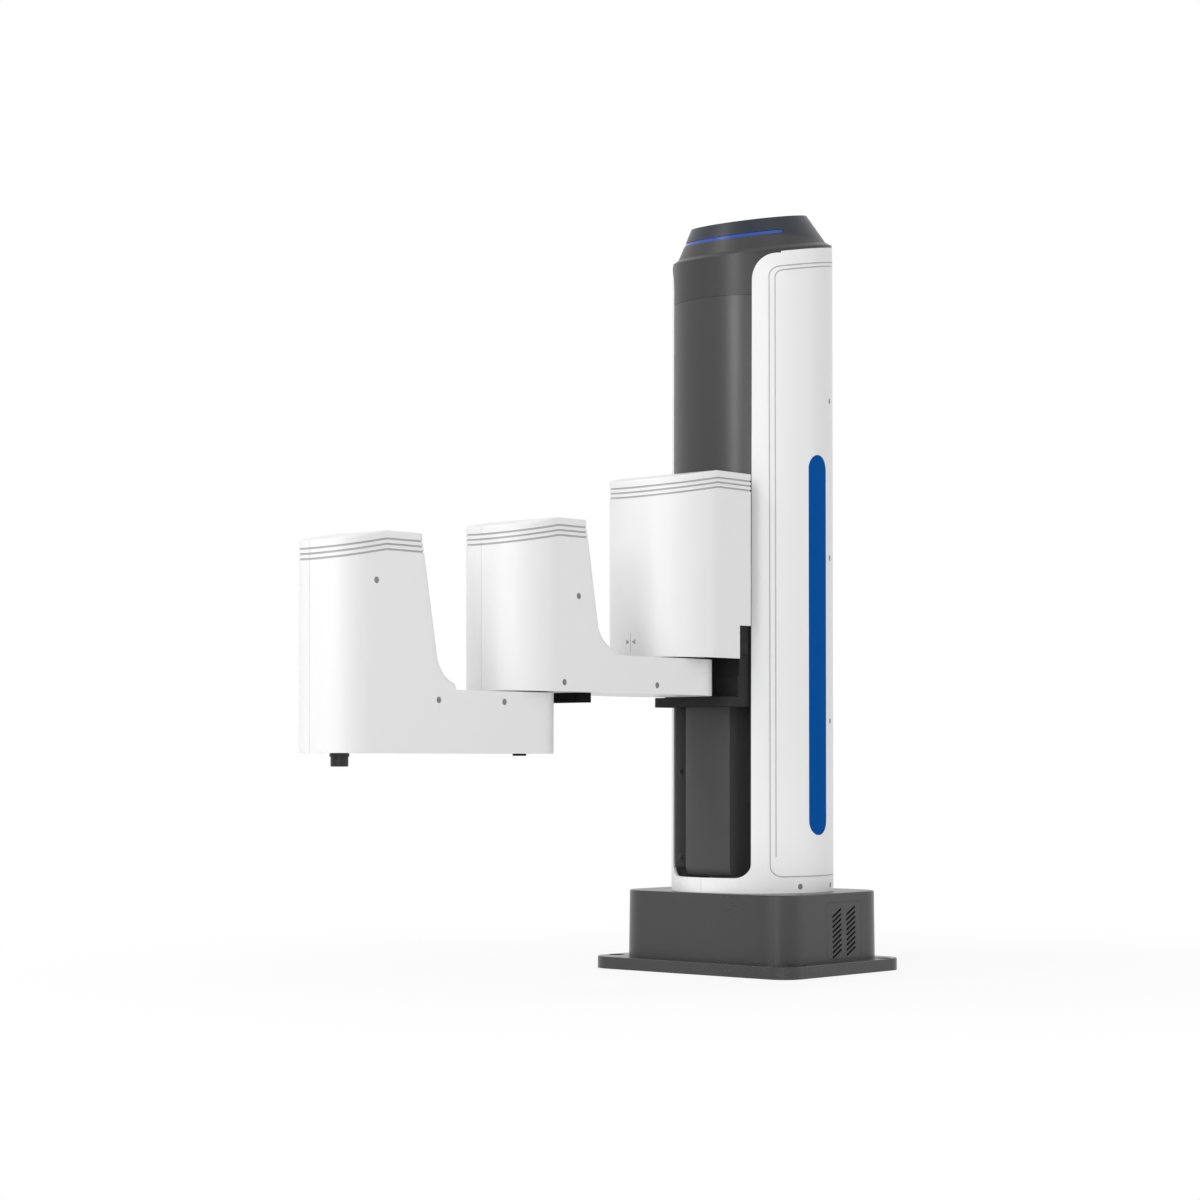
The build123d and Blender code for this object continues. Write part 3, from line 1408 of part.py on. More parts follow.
def roof_outline(rear, ridge, front, roof, inset):
    """Closed outline under a roof that is level behind the ridge and falls towards the front."""
    low = forearm.bottom - 10
    return [
        (rear - 1, low),
        (front + 1, low),
        (front + 1, roof - inset - roof_slope * (front + 1 - ridge)),
        (ridge, roof - inset),
        (rear - 1, roof - inset),
        (rear - 1, low),
    ]


def roof_bands(rear, ridge, front, roof, half_width):
    """Thin layers that follow the roof at the heights of the decorative grooves."""
    with BuildPart() as bands:
        for drop in groove_drops:
            upper = roof - drop + groove_width / 2
            lower = upper - groove_width
            fall = roof_slope * (front + 1 - ridge)
            with BuildSketch(Plane.XZ):
                with BuildLine():
                    Polyline(
                        (rear - 1, lower),
                        (ridge, lower),
                        (front + 1, lower - fall),
                        (front + 1, upper - fall),
                        (ridge, upper),
                        (rear - 1, upper),
                        close=True,
                    )
                make_face()
            extrude(amount=half_width + 1, both=True)
    return bands.part


with BuildPart() as shoulder_grooves:
    add(roof_bands(shoulder_rear, shoulder_ridge_x, joint1_x + shoulder_r, shoulder_roof, shoulder_r))
    add(shoulder_block(groove_depth), mode=Mode.SUBTRACT)
    with BuildSketch(Plane.XY.offset(shoulder_roof - 60)):
        with Locations((shoulder_rear - 5, 0)):
            Rectangle(10, 3 * shoulder_r)
    extrude(amount=80, mode=Mode.SUBTRACT)

with BuildPart() as shoulder_cover:
    add(shoulder_block(0))
    roof_edges = shoulder_cover.edges().group_by(Axis.Z)[-1] + shoulder_cover.edges().group_by(Axis.Z)[-2]
    fillet(roof_edges.filter_by(lambda edge: edge.center().X > shoulder_rear + 1), roof_edge_r)
    add(shoulder_block(cover_wall), mode=Mode.SUBTRACT)
    with BuildSketch(Plane.XY.offset(shoulder_bottom)):
        with Locations((joint1_x, 0)):
            Circle(shoulder_r - cover_wall)
        with Locations(((shoulder_rear + joint1_x) / 2, 0)):
            Rectangle(joint1_x - shoulder_rear + 2, 2 * (shoulder_r - cover_wall))
    extrude(amount=40, mode=Mode.SUBTRACT)
    with BuildSketch(Plane.XY.offset(shoulder_bottom)):
        with Locations(((shoulder_rear + notch_front) / 2 - 5, 0)):
            Rectangle(notch_front - shoulder_rear + 10, 3 * shoulder_r)
    extrude(amount=notch_top - shoulder_bottom, mode=Mode.SUBTRACT)
    with BuildSketch(Plane.XY.offset(shoulder_bottom)):
        Circle(shoulder_clear_r)
    extrude(amount=200, mode=Mode.SUBTRACT)
    add(shoulder_grooves.part, mode=Mode.SUBTRACT)
shoulder_cover.part.label = "shoulder_cover"
export_step(shoulder_cover.part, "parts/shoulder_cover.step")


def arm_plan(arm, inset):
    """Plan of an arm, inset inside its outside: round in front, with two rounded corners behind."""
    r = arm.half_width - inset
    rear = arm.rear_x + inset
    with BuildSketch() as plan:
        with BuildLine():
            Polyline((arm.front_axis, -r), (rear, -r), (rear, r), (arm.front_axis, r))
            ThreePointArc((arm.front_axis, r), (arm.front_axis + r, 0), (arm.front_axis, -r))
        make_face()
        fillet(plan.vertices().group_by(Axis.X)[0], arm.rear_corner_r - inset)
    return plan.sketch


def arm_block(arm, inset):
    """Solid of one arm, inset inside its outside, with rounded rear edges on the tower."""
    tilt = radians(roof_tilt)
    lip_z = arm.link_top + heel_lip
    heel_x = arm.lip_x + heel_run
    heel_z = lip_z + heel_rise
    roof_rear = heel_x + (arm.roof - heel_z) * roof_slope
    rear = arm.rear_axis - arm.half_width
    front = arm.front_axis + arm.half_width
    nose_z = arm.roof - roof_slope * (front - arm.ridge_x)
    r = arm.half_width - inset
    with BuildPart() as block:
        with BuildSketch(Plane.XZ):
            with BuildLine():
                Polyline((arm.lip_x, lip_z), (arm.lip_x, arm.link_top), (rear, arm.link_top), (rear, arm.bottom))
                Polyline((rear, arm.bottom), (front, arm.bottom), (front, nose_z), (arm.ridge_x, arm.roof))
                Polyline((arm.ridge_x, arm.roof), (roof_rear, arm.roof), (heel_x, heel_z))
                TangentArc((heel_x, heel_z), (arm.lip_x, lip_z), tangent=(-sin(tilt), -cos(tilt)))
            make_face()
            if inset > 0:
                offset(amount=-inset, kind=Kind.INTERSECTION)
        extrude(amount=r, both=True)
        rear_edges = block.edges().filter_by(
            lambda edge: arm.lip_x < edge.center().X < arm.ridge_x
            and edge.center().Z > lip_z
            and abs(edge.center().Y) > 1
            and edge.length > 20
            and abs(edge.tangent_at(0.5).Z) > 0.5
        )
        fillet(rear_edges, rear_edge_r - inset)
        with BuildSketch(Plane.XY.offset(arm.bottom)):
            add(arm_plan(arm, inset))
        extrude(amount=arm.roof - arm.bottom, mode=Mode.INTERSECT)
    return block.part


def rounded_roof(arm, slope):
    """Upright prism on an arm's plan whose top, falling at the given slope, has a rounded rim."""
    tilt = radians(slope)
    top = Plane(origin=(arm.ridge_x, 0, arm.roof), x_dir=(cos(tilt), 0, -sin(tilt)), z_dir=(sin(tilt), 0, cos(tilt)))
    with BuildPart() as prism:
        with BuildSketch(Plane.XY.offset(arm.bottom)):
            add(arm_plan(arm, 0))
        extrude(amount=arm.roof - arm.bottom + 80)
        split(bisect_by=top, keep=Keep.BOTTOM)
        fillet(prism.faces().sort_by(Axis(top.origin, top.z_dir))[-1].edges(), roof_edge_r)
    return prism.part


def arm_grooves(arm):
    """Three shallow grooves round the top of an arm's tower."""
    with BuildPart() as grooves:
        add(roof_bands(arm.lip_x, arm.ridge_x, arm.front_axis + arm.half_width, arm.roof, arm.half_width))
        add(arm_block(arm, groove_depth), mode=Mode.SUBTRACT)
    return grooves.part


side_screw_recess = 1.5


def cover_half(arm, screws, bottom_hole_r, top_hole_r):
    """Left half of an arm's cover: half a shell with a hole at each joint and bosses for the side screws."""
    with BuildPart() as half:
        add(arm_block(arm, 0))
        add(rounded_roof(arm, 0), mode=Mode.INTERSECT)
        add(rounded_roof(arm, roof_tilt), mode=Mode.INTERSECT)
        add(arm_block(arm, cover_wall), mode=Mode.SUBTRACT)
        for x, z in screws:
            if z > arm.link_top or arm is forearm:
                with Locations(Plane(origin=(x, 0, z), x_dir=(1, 0, 0), z_dir=(0, 1, 0))):
                    Cylinder(cover_boss_d / 2, arm.half_width - 1, align=(Align.CENTER, Align.CENTER, Align.MIN))
        add(arm_grooves(arm), mode=Mode.SUBTRACT)
        with BuildSketch(Plane.XY.offset(arm.bottom - 1)):
            with Locations((arm.front_axis, 0)):
                Circle(bottom_hole_r)
        extrude(amount=cover_wall + 2, mode=Mode.SUBTRACT)
        with BuildSketch(Plane.XY.offset(arm.link_top + 1)):
            with Locations((arm.rear_axis, 0)):
                Circle(top_hole_r)
        extrude(amount=-cover_wall - 2, mode=Mode.SUBTRACT)
        with Locations(*[side_plane(x, arm.half_width, z, 1) for x, z in screws]):
            Cylinder(cover_screw_hole_d / 2, 2 * side_screw_recess, mode=Mode.SUBTRACT)
            Cylinder(cover_screw_shank_d / 2, 2 * screw_reach + 4, mode=Mode.SUBTRACT)
        split(bisect_by=Plane.XZ.offset(-seam_gap / 2), keep=Keep.BOTTOM)
    return half.part


def cover_screws(arm, screws):
    """Socket head screws in both flanks of an arm."""
    with BuildPart() as heads:
        for side in (-1, 1):
            seat_y = side * (arm.half_width - side_screw_recess)
            with Locations(*[side_plane(x, seat_y, z, side) for x, z in screws]):
                Cylinder(cover_screw_head_d / 2, screw_head_height, align=(Align.CENTER, Align.CENTER, Align.MIN))
                Cylinder(cover_screw_shank_d / 2, screw_reach, align=(Align.CENTER, Align.CENTER, Align.MAX))
                Cylinder(1.2, 2, mode=Mode.SUBTRACT)
    return heads.part


# Rear arm's casting: the load-bearing bar inside the covers, with a boss at the shoulder and one at the elbow
casting_gap = 0.3
joint1_flange_bottom = 274.5
rear_casting_bottom = rear_arm.bottom + cover_wall + fit_gap
rear_casting_top = 263.0
elbow_boss_top = 276.0
with BuildPart() as arm1_casting:
    with BuildSketch(Plane.XY.offset(rear_casting_bottom)):
        add(arm_plan(rear_arm, cover_wall + casting_gap))
    extrude(amount=rear_casting_top - rear_casting_bottom)
    with BuildSketch(Plane.XY.offset(rear_casting_top)):
        with Locations((joint1_x, 0)):
            Circle(joint1_flange_d / 2 + 1)
    extrude(amount=joint1_flange_bottom - rear_casting_top)
    with BuildSketch(Plane.XY.offset(rear_casting_top)):
        with Locations((joint2_x, 0)):
            Circle(36)
    extrude(amount=elbow_boss_top - rear_casting_top)
    with BuildSketch(Plane.XY.offset(rear_casting_top)):
        with Locations(((joint1_x + joint2_x) / 2, 0)):
            for rib_y in (-18, 0, 18):
                with Locations((0, rib_y)):
                    Rectangle(rear_arm_length - 40, 4)
    extrude(amount=9)
    with BuildSketch(Plane.XY.offset(rear_casting_bottom)):
        with Locations((joint2_x, 0)):
            Circle(joint2_reducer_d / 2 + running_gap)
    extrude(amount=elbow_boss_top - rear_casting_bottom, mode=Mode.SUBTRACT)
    with Locations(*[side_plane(x, side * 40, z, side) for x, z in rear_arm_link_screws for side in (-1, 1)]):
        Cylinder(cover_screw_shank_d / 2, 2 * screw_reach + 4, mode=Mode.SUBTRACT)
arm1_casting.part.label = "arm1_casting"
export_step(arm1_casting.part, "parts/arm1_casting.step")


def output_flange(x, flange_d, bottom, top):
    """Turning flange under a reducer, with a spigot that runs in the reducer's bore."""
    with BuildPart() as flange:
        with BuildSketch(Plane.XY.offset(bottom)):
            with Locations((x, 0)):
                Circle(flange_d / 2)
        extrude(amount=top - bottom)
        with BuildSketch(Plane.XY.offset(top)):
            with Locations((x, 0)):
                Circle(spigot_d / 2)
        extrude(amount=spigot_height)
        with BuildSketch(Plane.XY.offset(bottom)):
            with Locations((x, 0)):
                Circle(spigot_d / 2 - 4)
        extrude(amount=top - bottom + spigot_height, mode=Mode.SUBTRACT)
    return flange.part


# Shoulder output flange: joins the rear arm's casting to the shoulder reducer
with BuildPart() as j1_output_flange:
    add(output_flange(joint1_x, joint1_flange_d, joint1_flange_bottom, joint1_reducer_bottom - seat_gap))
j1_output_flange.part.label = "j1_output_flange"
export_step(j1_output_flange.part, "parts/j1_output_flange.step")


# Elbow reducer: a flanged gear unit in the bore of the rear arm's casting
joint2_reducer_bottom = rear_casting_bottom + 2.5
with BuildPart() as j2_reducer:
    with BuildSketch(Plane.XY.offset(joint2_reducer_bottom)):
        with Locations((joint2_x, 0)):
            Circle(joint2_reducer_d / 2)
    extrude(amount=elbow_boss_top - joint2_reducer_bottom)
    with BuildSketch(Plane.XY.offset(elbow_boss_top)):
        with Locations((joint2_x, 0)):
            Circle(joint2_reducer_flange_d / 2)
            with PolarLocations(joint2_reducer_flange_d / 2 - 3.5, 8):
                Circle(1.8, mode=Mode.SUBTRACT)
    extrude(amount=joint2_reducer_flange_height)
    with BuildSketch(Plane.XY.offset(joint2_reducer_bottom)):
        with Locations((joint2_x, 0)):
            Circle(spigot_d / 2 + running_gap)
    extrude(amount=spigot_height + 1, mode=Mode.SUBTRACT)
j2_reducer.part.label = "j2_reducer"
export_step(j2_reducer.part, "parts/j2_reducer.step")


# Elbow motor: a round servo inside the rear arm's tower
joint2_motor_bottom = elbow_boss_top + joint2_reducer_flange_height
with BuildPart() as j2_motor:
    with BuildSketch(Plane.XY.offset(joint2_motor_bottom)):
        with Locations((joint2_x, 0)):
            Circle(joint2_motor_d / 2 - 0.5)
    extrude(amount=joint2_motor_height - 18)
    with BuildSketch(Plane.XY.offset(joint2_motor_bottom + joint2_motor_height - 18)):
        with Locations((joint2_x, 0)):
            Circle(joint2_motor_d / 2 - 3)
    extrude(amount=18)
j2_motor.part.label = "j2_motor"
export_step(j2_motor.part, "parts/j2_motor.step")


# Rear arm's covers: two white half shells that meet on the centre line
rear_arm_screws = (rear_arm_tower_screw, *rear_arm_link_screws)
with BuildPart() as arm1_cover_left:
    add(cover_half(rear_arm, rear_arm_screws, joint2_flange_d / 2 + 2, joint1_flange_d / 2 + 1.5))
arm1_cover_left.part.label = "arm1_cover_left"
export_step(arm1_cover_left.part, "parts/arm1_cover_left.step")

with BuildPart() as arm1_cover_right:
    add(arm1_cover_left.part)
    mirror(about=Plane.XZ, mode=Mode.REPLACE)
arm1_cover_right.part.label = "arm1_cover_right"
export_step(arm1_cover_right.part, "parts/arm1_cover_right.step")


# Stop block: a black rubber-faced block under the rear arm that limits the elbow
with BuildPart() as arm1_stop_block:
    with BuildSketch(Plane.XY.offset(stop_bottom)):
        with Locations((joint2_x - stop_setback, 0)):
            RectangleRounded(stop_length, 2 * stop_half_width, 1.5)
    extrude(amount=rear_arm.bottom - stop_bottom)
arm1_stop_block.part.label = "arm1_stop_block"
export_step(arm1_stop_block.part, "parts/arm1_stop_block.step")


# Rear arm's cover screws
with BuildPart() as arm1_screws:
    add(cover_screws(rear_arm, rear_arm_screws))
arm1_screws.part.label = "arm1_screws"
export_step(arm1_screws.part, "parts/arm1_screws.step")


# Forearm's casting: a bar with a boss under the elbow and a bored seat for the tool shaft's lower bearing
forearm_casting_bottom = forearm.bottom + cover_wall + fit_gap
forearm_casting_top = 209.5
joint2_flange_bottom = 238.5
with BuildPart() as arm2_casting:
    with BuildSketch(Plane.XY.offset(forearm_casting_bottom)):
        with Locations(((joint2_x + joint4_x) / 2, 0)):
            SlotCenterToCenter(forearm_length, 2 * (forearm.half_width - cover_wall - casting_gap))
    extrude(amount=forearm_casting_top - forearm_casting_bottom)
    with BuildSketch(Plane.XY.offset(forearm_casting_top)):
        with Locations((joint2_x, 0)):
            Circle(24)
        with Locations(((joint2_x + forearm.lip_x) / 2, 0)):
            with GridLocations(0, 30, 1, 2):
                Rectangle(forearm.lip_x - joint2_x, 4)
    extrude(amount=14)
    with BuildSketch(Plane.XY.offset(forearm_casting_top + 14)):
        with Locations((joint2_x, 0)):
            Circle(24)
    extrude(amount=joint2_flange_bottom - forearm_casting_top - 14)
    with BuildSketch(Plane.XY.offset(forearm_casting_bottom)):
        with Locations((joint4_x, 0)):
            Circle(bearing_d / 2 + running_gap)
    extrude(amount=forearm_casting_top - forearm_casting_bottom, mode=Mode.SUBTRACT)
arm2_casting.part.label = "arm2_casting"
export_step(arm2_casting.part, "parts/arm2_casting.step")


# Elbow output flange: joins the forearm's casting to the elbow reducer
with BuildPart() as j2_output_flange:
    add(output_flange(joint2_x, joint2_flange_d, joint2_flange_bottom, joint2_reducer_bottom - seat_gap))
j2_output_flange.part.label = "j2_output_flange"
export_step(j2_output_flange.part, "parts/j2_output_flange.step")


# Wrist frame: a raised plate on four posts with the tool shaft's upper bearing tube
wrist_plate_bottom = 230.0
wrist_plate_thickness = 6.0
wrist_tube_top = 286.0
wrist_plate_rear = joint4_x - 70.5
post_places = ((joint4_x - 66.0, 21.0), (joint4_x + 11.5, 21.0))
with BuildPart() as wrist_frame:
    with BuildSketch(Plane.XY.offset(wrist_plate_bottom)):
        with Locations((joint4_x, 0)):
            Circle(forearm.half_width - cover_wall - 1)
        with Locations(((wrist_plate_rear + joint4_x) / 2, 0)):
            Rectangle(joint4_x - wrist_plate_rear, 2 * (forearm.half_width - cover_wall - 3))
        with Locations((wrist_motor_x, 0)):
            Circle(wrist_motor_shaft_d / 2 + 1.5, mode=Mode.SUBTRACT)
    extrude(amount=wrist_plate_thickness)
    with BuildSketch(Plane.XY.offset(forearm_casting_top)):
        with Locations(*[(x, side * y) for x, y in post_places for side in (-1, 1)]):
            Circle(3.2)
    extrude(amount=wrist_plate_bottom - forearm_casting_top)
    with BuildSketch(Plane.XY.offset(wrist_plate_bottom + wrist_plate_thickness)):
        with Locations((joint4_x, 0)):
            Circle(bearing_d / 2 + 4)
    extrude(amount=wrist_tube_top - wrist_plate_bottom - wrist_plate_thickness)
    with BuildSketch(Plane.XY.offset(wrist_plate_bottom)):
        with Locations((joint4_x, 0)):
            Circle(bearing_d / 2 + running_gap)
    extrude(amount=wrist_tube_top - wrist_plate_bottom, mode=Mode.SUBTRACT)
wrist_frame.part.label = "wrist_frame"
export_step(wrist_frame.part, "parts/wrist_frame.step")


# Wrist motor: a square stepper on the raised plate
wrist_motor_bottom = wrist_plate_bottom + wrist_plate_thickness
with BuildPart() as j4_motor:
    with BuildSketch(Plane.XY.offset(wrist_motor_bottom)):
        with Locations((wrist_motor_x, 0)):
            RectangleRounded(wrist_motor_size, wrist_motor_size, 4)
    extrude(amount=wrist_motor_height)
    with BuildSketch(Plane.XY.offset(wrist_motor_bottom + 9)):
        with Locations((wrist_motor_x, 0)):
            Rectangle(wrist_motor_size + 2, wrist_motor_size + 2)
            RectangleRounded(wrist_motor_size - 3, wrist_motor_size - 3, 6, mode=Mode.SUBTRACT)
    extrude(amount=wrist_motor_height - 18, mode=Mode.SUBTRACT)
    with BuildSketch(Plane.XY.offset(wrist_motor_bottom)):
        with Locations((wrist_motor_x, 0)):
            Circle(wrist_motor_shaft_d / 2 + seat_gap)
    extrude(amount=12, mode=Mode.SUBTRACT)
j4_motor.part.label = "j4_motor"
export_step(j4_motor.part, "parts/j4_motor.step")


# Tool shaft bearings: three plain rings, the lowest in the casting and two in the wrist frame's tube
bearing_places = (forearm_casting_bottom + 0.6, wrist_motor_bottom + 1, wrist_tube_top - bearing_height - 1)
with BuildPart() as tool_bearings:
    for height in bearing_places:
        with BuildSketch(Plane.XY.offset(height)):
            with Locations((joint4_x, 0)):
                Circle(bearing_d / 2)
                Circle(tool_shaft_d / 2 + running_gap, mode=Mode.SUBTRACT)
        extrude(amount=bearing_height)
tool_bearings.part.label = "tool_bearings"
export_step(tool_bearings.part, "parts/tool_bearings.step")


# Toothed belt: a loop round both wrist pulleys
belt_bottom = 215.3
belt_gap = 0.3
with BuildPart() as j4_belt:
    for grow, lower in ((belt_gap + belt_thickness, Mode.ADD), (belt_gap, Mode.SUBTRACT)):
        with BuildSketch(Plane.XY.offset(belt_bottom)):
            with Locations((joint4_x, 0)):
                Circle(tool_pulley_d / 2 + grow)
            with Locations((wrist_motor_x, 0)):
                Circle(motor_pulley_d / 2 + grow)
            make_hull()
        extrude(amount=belt_width, mode=lower)
j4_belt.part.label = "j4_belt"
export_step(j4_belt.part, "parts/j4_belt.step")


def pulley_body(x, pulley_d):
    """Flanged pulley at the belt's height."""
    bottom = belt_bottom + belt_width / 2 - pulley_height / 2
    with BuildPart() as pulley:
        with BuildSketch(Plane.XY.offset(bottom)):
            with Locations((x, 0)):
                Circle(pulley_d / 2)
        extrude(amount=pulley_height)
        for height in (bottom, bottom + pulley_height - pulley_flange_thickness):
            with BuildSketch(Plane.XY.offset(height)):
                with Locations((x, 0)):
                    Circle(pulley_d / 2 + pulley_flange)
            extrude(amount=pulley_flange_thickness)
    return pulley.part


# Wrist motor's pulley with its shaft
with BuildPart() as j4_motor_pulley:
    add(pulley_body(wrist_motor_x, motor_pulley_d))
    with BuildSketch(Plane.XY.offset(belt_bottom)):
        with Locations((wrist_motor_x, 0)):
            Circle(wrist_motor_shaft_d / 2)
    extrude(amount=wrist_motor_bottom + 11 - belt_bottom)
j4_motor_pulley.part.label = "j4_motor_pulley"
export_step(j4_motor_pulley.part, "parts/j4_motor_pulley.step")


# Tool shaft: a polished shaft with a collar under the forearm and a tapped hole in its lower end
with BuildPart() as tool_shaft:
    with BuildSketch(Plane.XY.offset(tool_shaft_bottom)):
        with Locations((joint4_x, 0)):
            Circle(tool_shaft_d / 2)
    extrude(amount=tool_shaft_top - tool_shaft_bottom)
    chamfer(tool_shaft.edges().group_by(Axis.Z)[0], 0.6)
    chamfer(tool_shaft.edges().group_by(Axis.Z)[-1], 0.6)
    with BuildSketch(Plane.XY.offset(forearm.bottom - seat_gap)):
        with Locations((joint4_x, 0)):
            Circle(tool_collar_d / 2)
    extrude(amount=-tool_collar_height)
    with BuildSketch(Plane.XY.offset(tool_shaft_bottom)):
        with Locations((joint4_x, 0)):
            Circle(tool_thread_d / 2)
    extrude(amount=tool_thread_depth, mode=Mode.SUBTRACT)
tool_shaft.part.label = "tool_shaft"
export_step(tool_shaft.part, "parts/tool_shaft.step")


# Tool shaft's pulley
with BuildPart() as tool_pulley:
    add(pulley_body(joint4_x, tool_pulley_d))
    with BuildSketch(Plane.XY.offset(belt_bottom - 5)):
        with Locations((joint4_x, 0)):
            Circle(tool_shaft_d / 2)
    extrude(amount=belt_width + 10, mode=Mode.SUBTRACT)
tool_pulley.part.label = "tool_pulley"
export_step(tool_pulley.part, "parts/tool_pulley.step")


# Forearm's covers: two white half shells that meet on the centre line
with BuildPart() as arm2_cover_left:
    add(cover_half(forearm, forearm_screws, tool_shaft_d / 2 + 1.3, joint2_flange_d / 2 + 1.5))
    with BuildSketch(Plane.XY.offset(forearm.bottom - 1)):
        with Locations((plug_x, 0)):
            Circle(plug_d / 2 - 1)
    extrude(amount=cover_wall + 2, mode=Mode.SUBTRACT)
arm2_cover_left.part.label = "arm2_cover_left"
export_step(arm2_cover_left.part, "parts/arm2_cover_left.step")

with BuildPart() as arm2_cover_right:
    add(arm2_cover_left.part)
    mirror(about=Plane.XZ, mode=Mode.REPLACE)
arm2_cover_right.part.label = "arm2_cover_right"
export_step(arm2_cover_right.part, "parts/arm2_cover_right.step")


# Forearm's cover screws
with BuildPart() as arm2_screws:
    add(cover_screws(forearm, forearm_screws))
arm2_screws.part.label = "arm2_screws"
export_step(arm2_screws.part, "parts/arm2_screws.step")


# Plug: a round rubber button in the hole under the elbow
with BuildPart() as j2_plug:
    with BuildSketch(Plane.XY.offset(forearm.bottom)):
        with Locations((plug_x, 0)):
            Circle(plug_d / 2)
    extrude(amount=-plug_height)
    with BuildSketch(Plane.XY.offset(forearm.bottom)):
        with Locations((plug_x, 0)):
            Circle(plug_d / 2 - 1 - fit_gap / 2)
    extrude(amount=cover_wall)
j2_plug.part.label = "j2_plug"
export_step(j2_plug.part, "parts/j2_plug.step")
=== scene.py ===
import math

import bpy
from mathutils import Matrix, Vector

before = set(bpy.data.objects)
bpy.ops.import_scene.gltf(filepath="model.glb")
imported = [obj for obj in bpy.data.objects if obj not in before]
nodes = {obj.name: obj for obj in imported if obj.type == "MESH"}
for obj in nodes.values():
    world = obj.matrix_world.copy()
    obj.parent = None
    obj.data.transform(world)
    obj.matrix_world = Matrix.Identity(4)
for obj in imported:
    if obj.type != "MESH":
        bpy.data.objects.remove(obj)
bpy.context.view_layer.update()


# Base plate: an 11 mm milled aluminium plate, blasted and coated dark grey, with
# four counterbored holes for the table bolts. The coat has a fine pebbled grain.
class Field:
    """A value or colour that varies over a surface; Python sums on it add Math nodes."""

    def __init__(self, tree, socket):
        self.tree = tree
        self.socket = socket

    def node(self, kind, settings=None, inputs=None, output=0):
        """Adds a node of a type, sets it up and returns one of its outputs."""
        made = self.tree.nodes.new(kind)
        for name, value in (settings or {}).items():
            setattr(made, name, value)
        for name, value in (inputs or {}).items():
            if isinstance(value, Field):
                self.tree.links.new(value.socket, made.inputs[name])
            else:
                made.inputs[name].default_value = value
        return Field(self.tree, made.outputs[output])

    def maths(self, operation, first, second=0.0):
        return self.node("ShaderNodeMath", {"operation": operation}, {0: first, 1: second})

    def __add__(self, other):
        return self.maths("ADD", self, other)

    __radd__ = __add__

    def __mul__(self, other):
        return self.maths("MULTIPLY", self, other)

    __rmul__ = __mul__

    def __sub__(self, other):
        return self.maths("SUBTRACT", self, other)

    def __rsub__(self, other):
        return self.maths("SUBTRACT", other, self)

    def absolute(self):
        return self.maths("ABSOLUTE", self)

    def scaled(self, factors):
        """Multiplies a vector by one factor along each axis."""
        return self.node("ShaderNodeVectorMath", {"operation": "MULTIPLY"}, {0: self, 1: factors})

    def length(self):
        """The length of a vector."""
        return self.node("ShaderNodeVectorMath", {"operation": "LENGTH"}, {0: self}, output=1)

    def above(self, low, high):
        """0 under the low value, 1 over the high one, with a soft step between."""
        settings = {"interpolation_type": "SMOOTHSTEP"}
        return self.node("ShaderNodeMapRange", settings, {"Value": self, "From Min": low, "From Max": high})

    def between(self, low, high, edge):
        """1 inside a band, 0 outside it."""
        return self.above(low - edge, low) * (1 - self.above(high, high + edge))

    def noise(self, scale, detail=3.0, stretch=(1, 1, 1)):
        """Cloudy noise from 0 to 1, with scale features to a metre."""
        inputs = {"Vector": self.scaled(stretch), "Scale": scale, "Detail": detail, "Roughness": 0.55}
        return self.node("ShaderNodeTexNoise", {}, inputs)

    def over(self, under, colour):
        """Lays a colour over another colour field where this value is 1."""
        colours = {0: self, 6: under, 7: (*colour, 1)}
        return self.node("ShaderNodeMix", {"data_type": "RGBA"}, colours, output=2)

    def tint(self, dark, light):
        """Mixes two colours by this value."""
        return self.over((*dark, 1), light)


class Finish:
    """A material in the making: its shader, and the place on the piece in metres."""

    def __init__(self, name, **constants):
        self.material = bpy.data.materials.new(name)
        self.material.use_nodes = True
        self.tree = self.material.node_tree
        self.shader = self.tree.nodes["Principled BSDF"]
        for socket, value in constants.items():
            self.shader.inputs[socket.replace("_", " ")].default_value = value
        start = Field(self.tree, None)
        self.place = start.node("ShaderNodeTexCoord", output=3)
        axes = [self.place.node("ShaderNodeSeparateXYZ", {}, {0: self.place}, output=i) for i in range(3)]
        self.x, self.y, self.z = axes

    def set(self, **fields):
        for socket, field in fields.items():
            self.tree.links.new(field.socket, self.shader.inputs[socket.replace("_", " ")])

    def relief(self, height, distance):
        """Raises the surface by a height field, distance metres for a height of 1."""
        inputs = {"Strength": 1.0, "Distance": distance, "Height": height}
        self.set(Normal=self.place.node("ShaderNodeBump", {}, inputs))


def shade(material, *names):
    """Gives CAD pieces a material."""
    for name in names:
        mesh = nodes[name].data
        mesh.materials.clear()
        mesh.materials.append(material)


def powder_coat(name, colour, roughness, gloss=0.5):
    """Satin coat on metal: pebbled, with a slow change of shade and of gloss."""
    coat = Finish(name, IOR=1.5, Specular_IOR_Level=gloss)
    pebbles = coat.place.noise(900, detail=2)
    cloud = coat.place.noise(14, detail=4)
    dark = [c * 0.93 for c in colour]
    light = [c * 1.06 for c in colour]
    coat.set(Base_Color=(cloud * 0.75 + pebbles * 0.25).tint(dark, light))
    coat.set(Roughness=cloud * 0.10 + pebbles * 0.08 + (roughness - 0.09))
    coat.relief(pebbles, 0.00004)
    return coat.material


base_coat = powder_coat("base coat", (0.040, 0.040, 0.041), 0.28)
shade(base_coat, "base_plate")


# Base housing: a cast aluminium box in the same dark coat, screwed down from
# below with steel screws. A slotted vent panel is let into each side wall.
housing_coat = powder_coat("housing coat", (0.040, 0.040, 0.041), 0.30)
shade(housing_coat, "base_housing", "vent_panels")

housing_screws = Finish("housing screw steel", Metallic=1.0, Roughness=0.38)
screw_cloud = housing_screws.place.noise(300)
housing_screws.set(Base_Color=screw_cloud.tint((0.16, 0.16, 0.17), (0.26, 0.26, 0.27)))
shade(housing_screws.material, "base_fasteners")


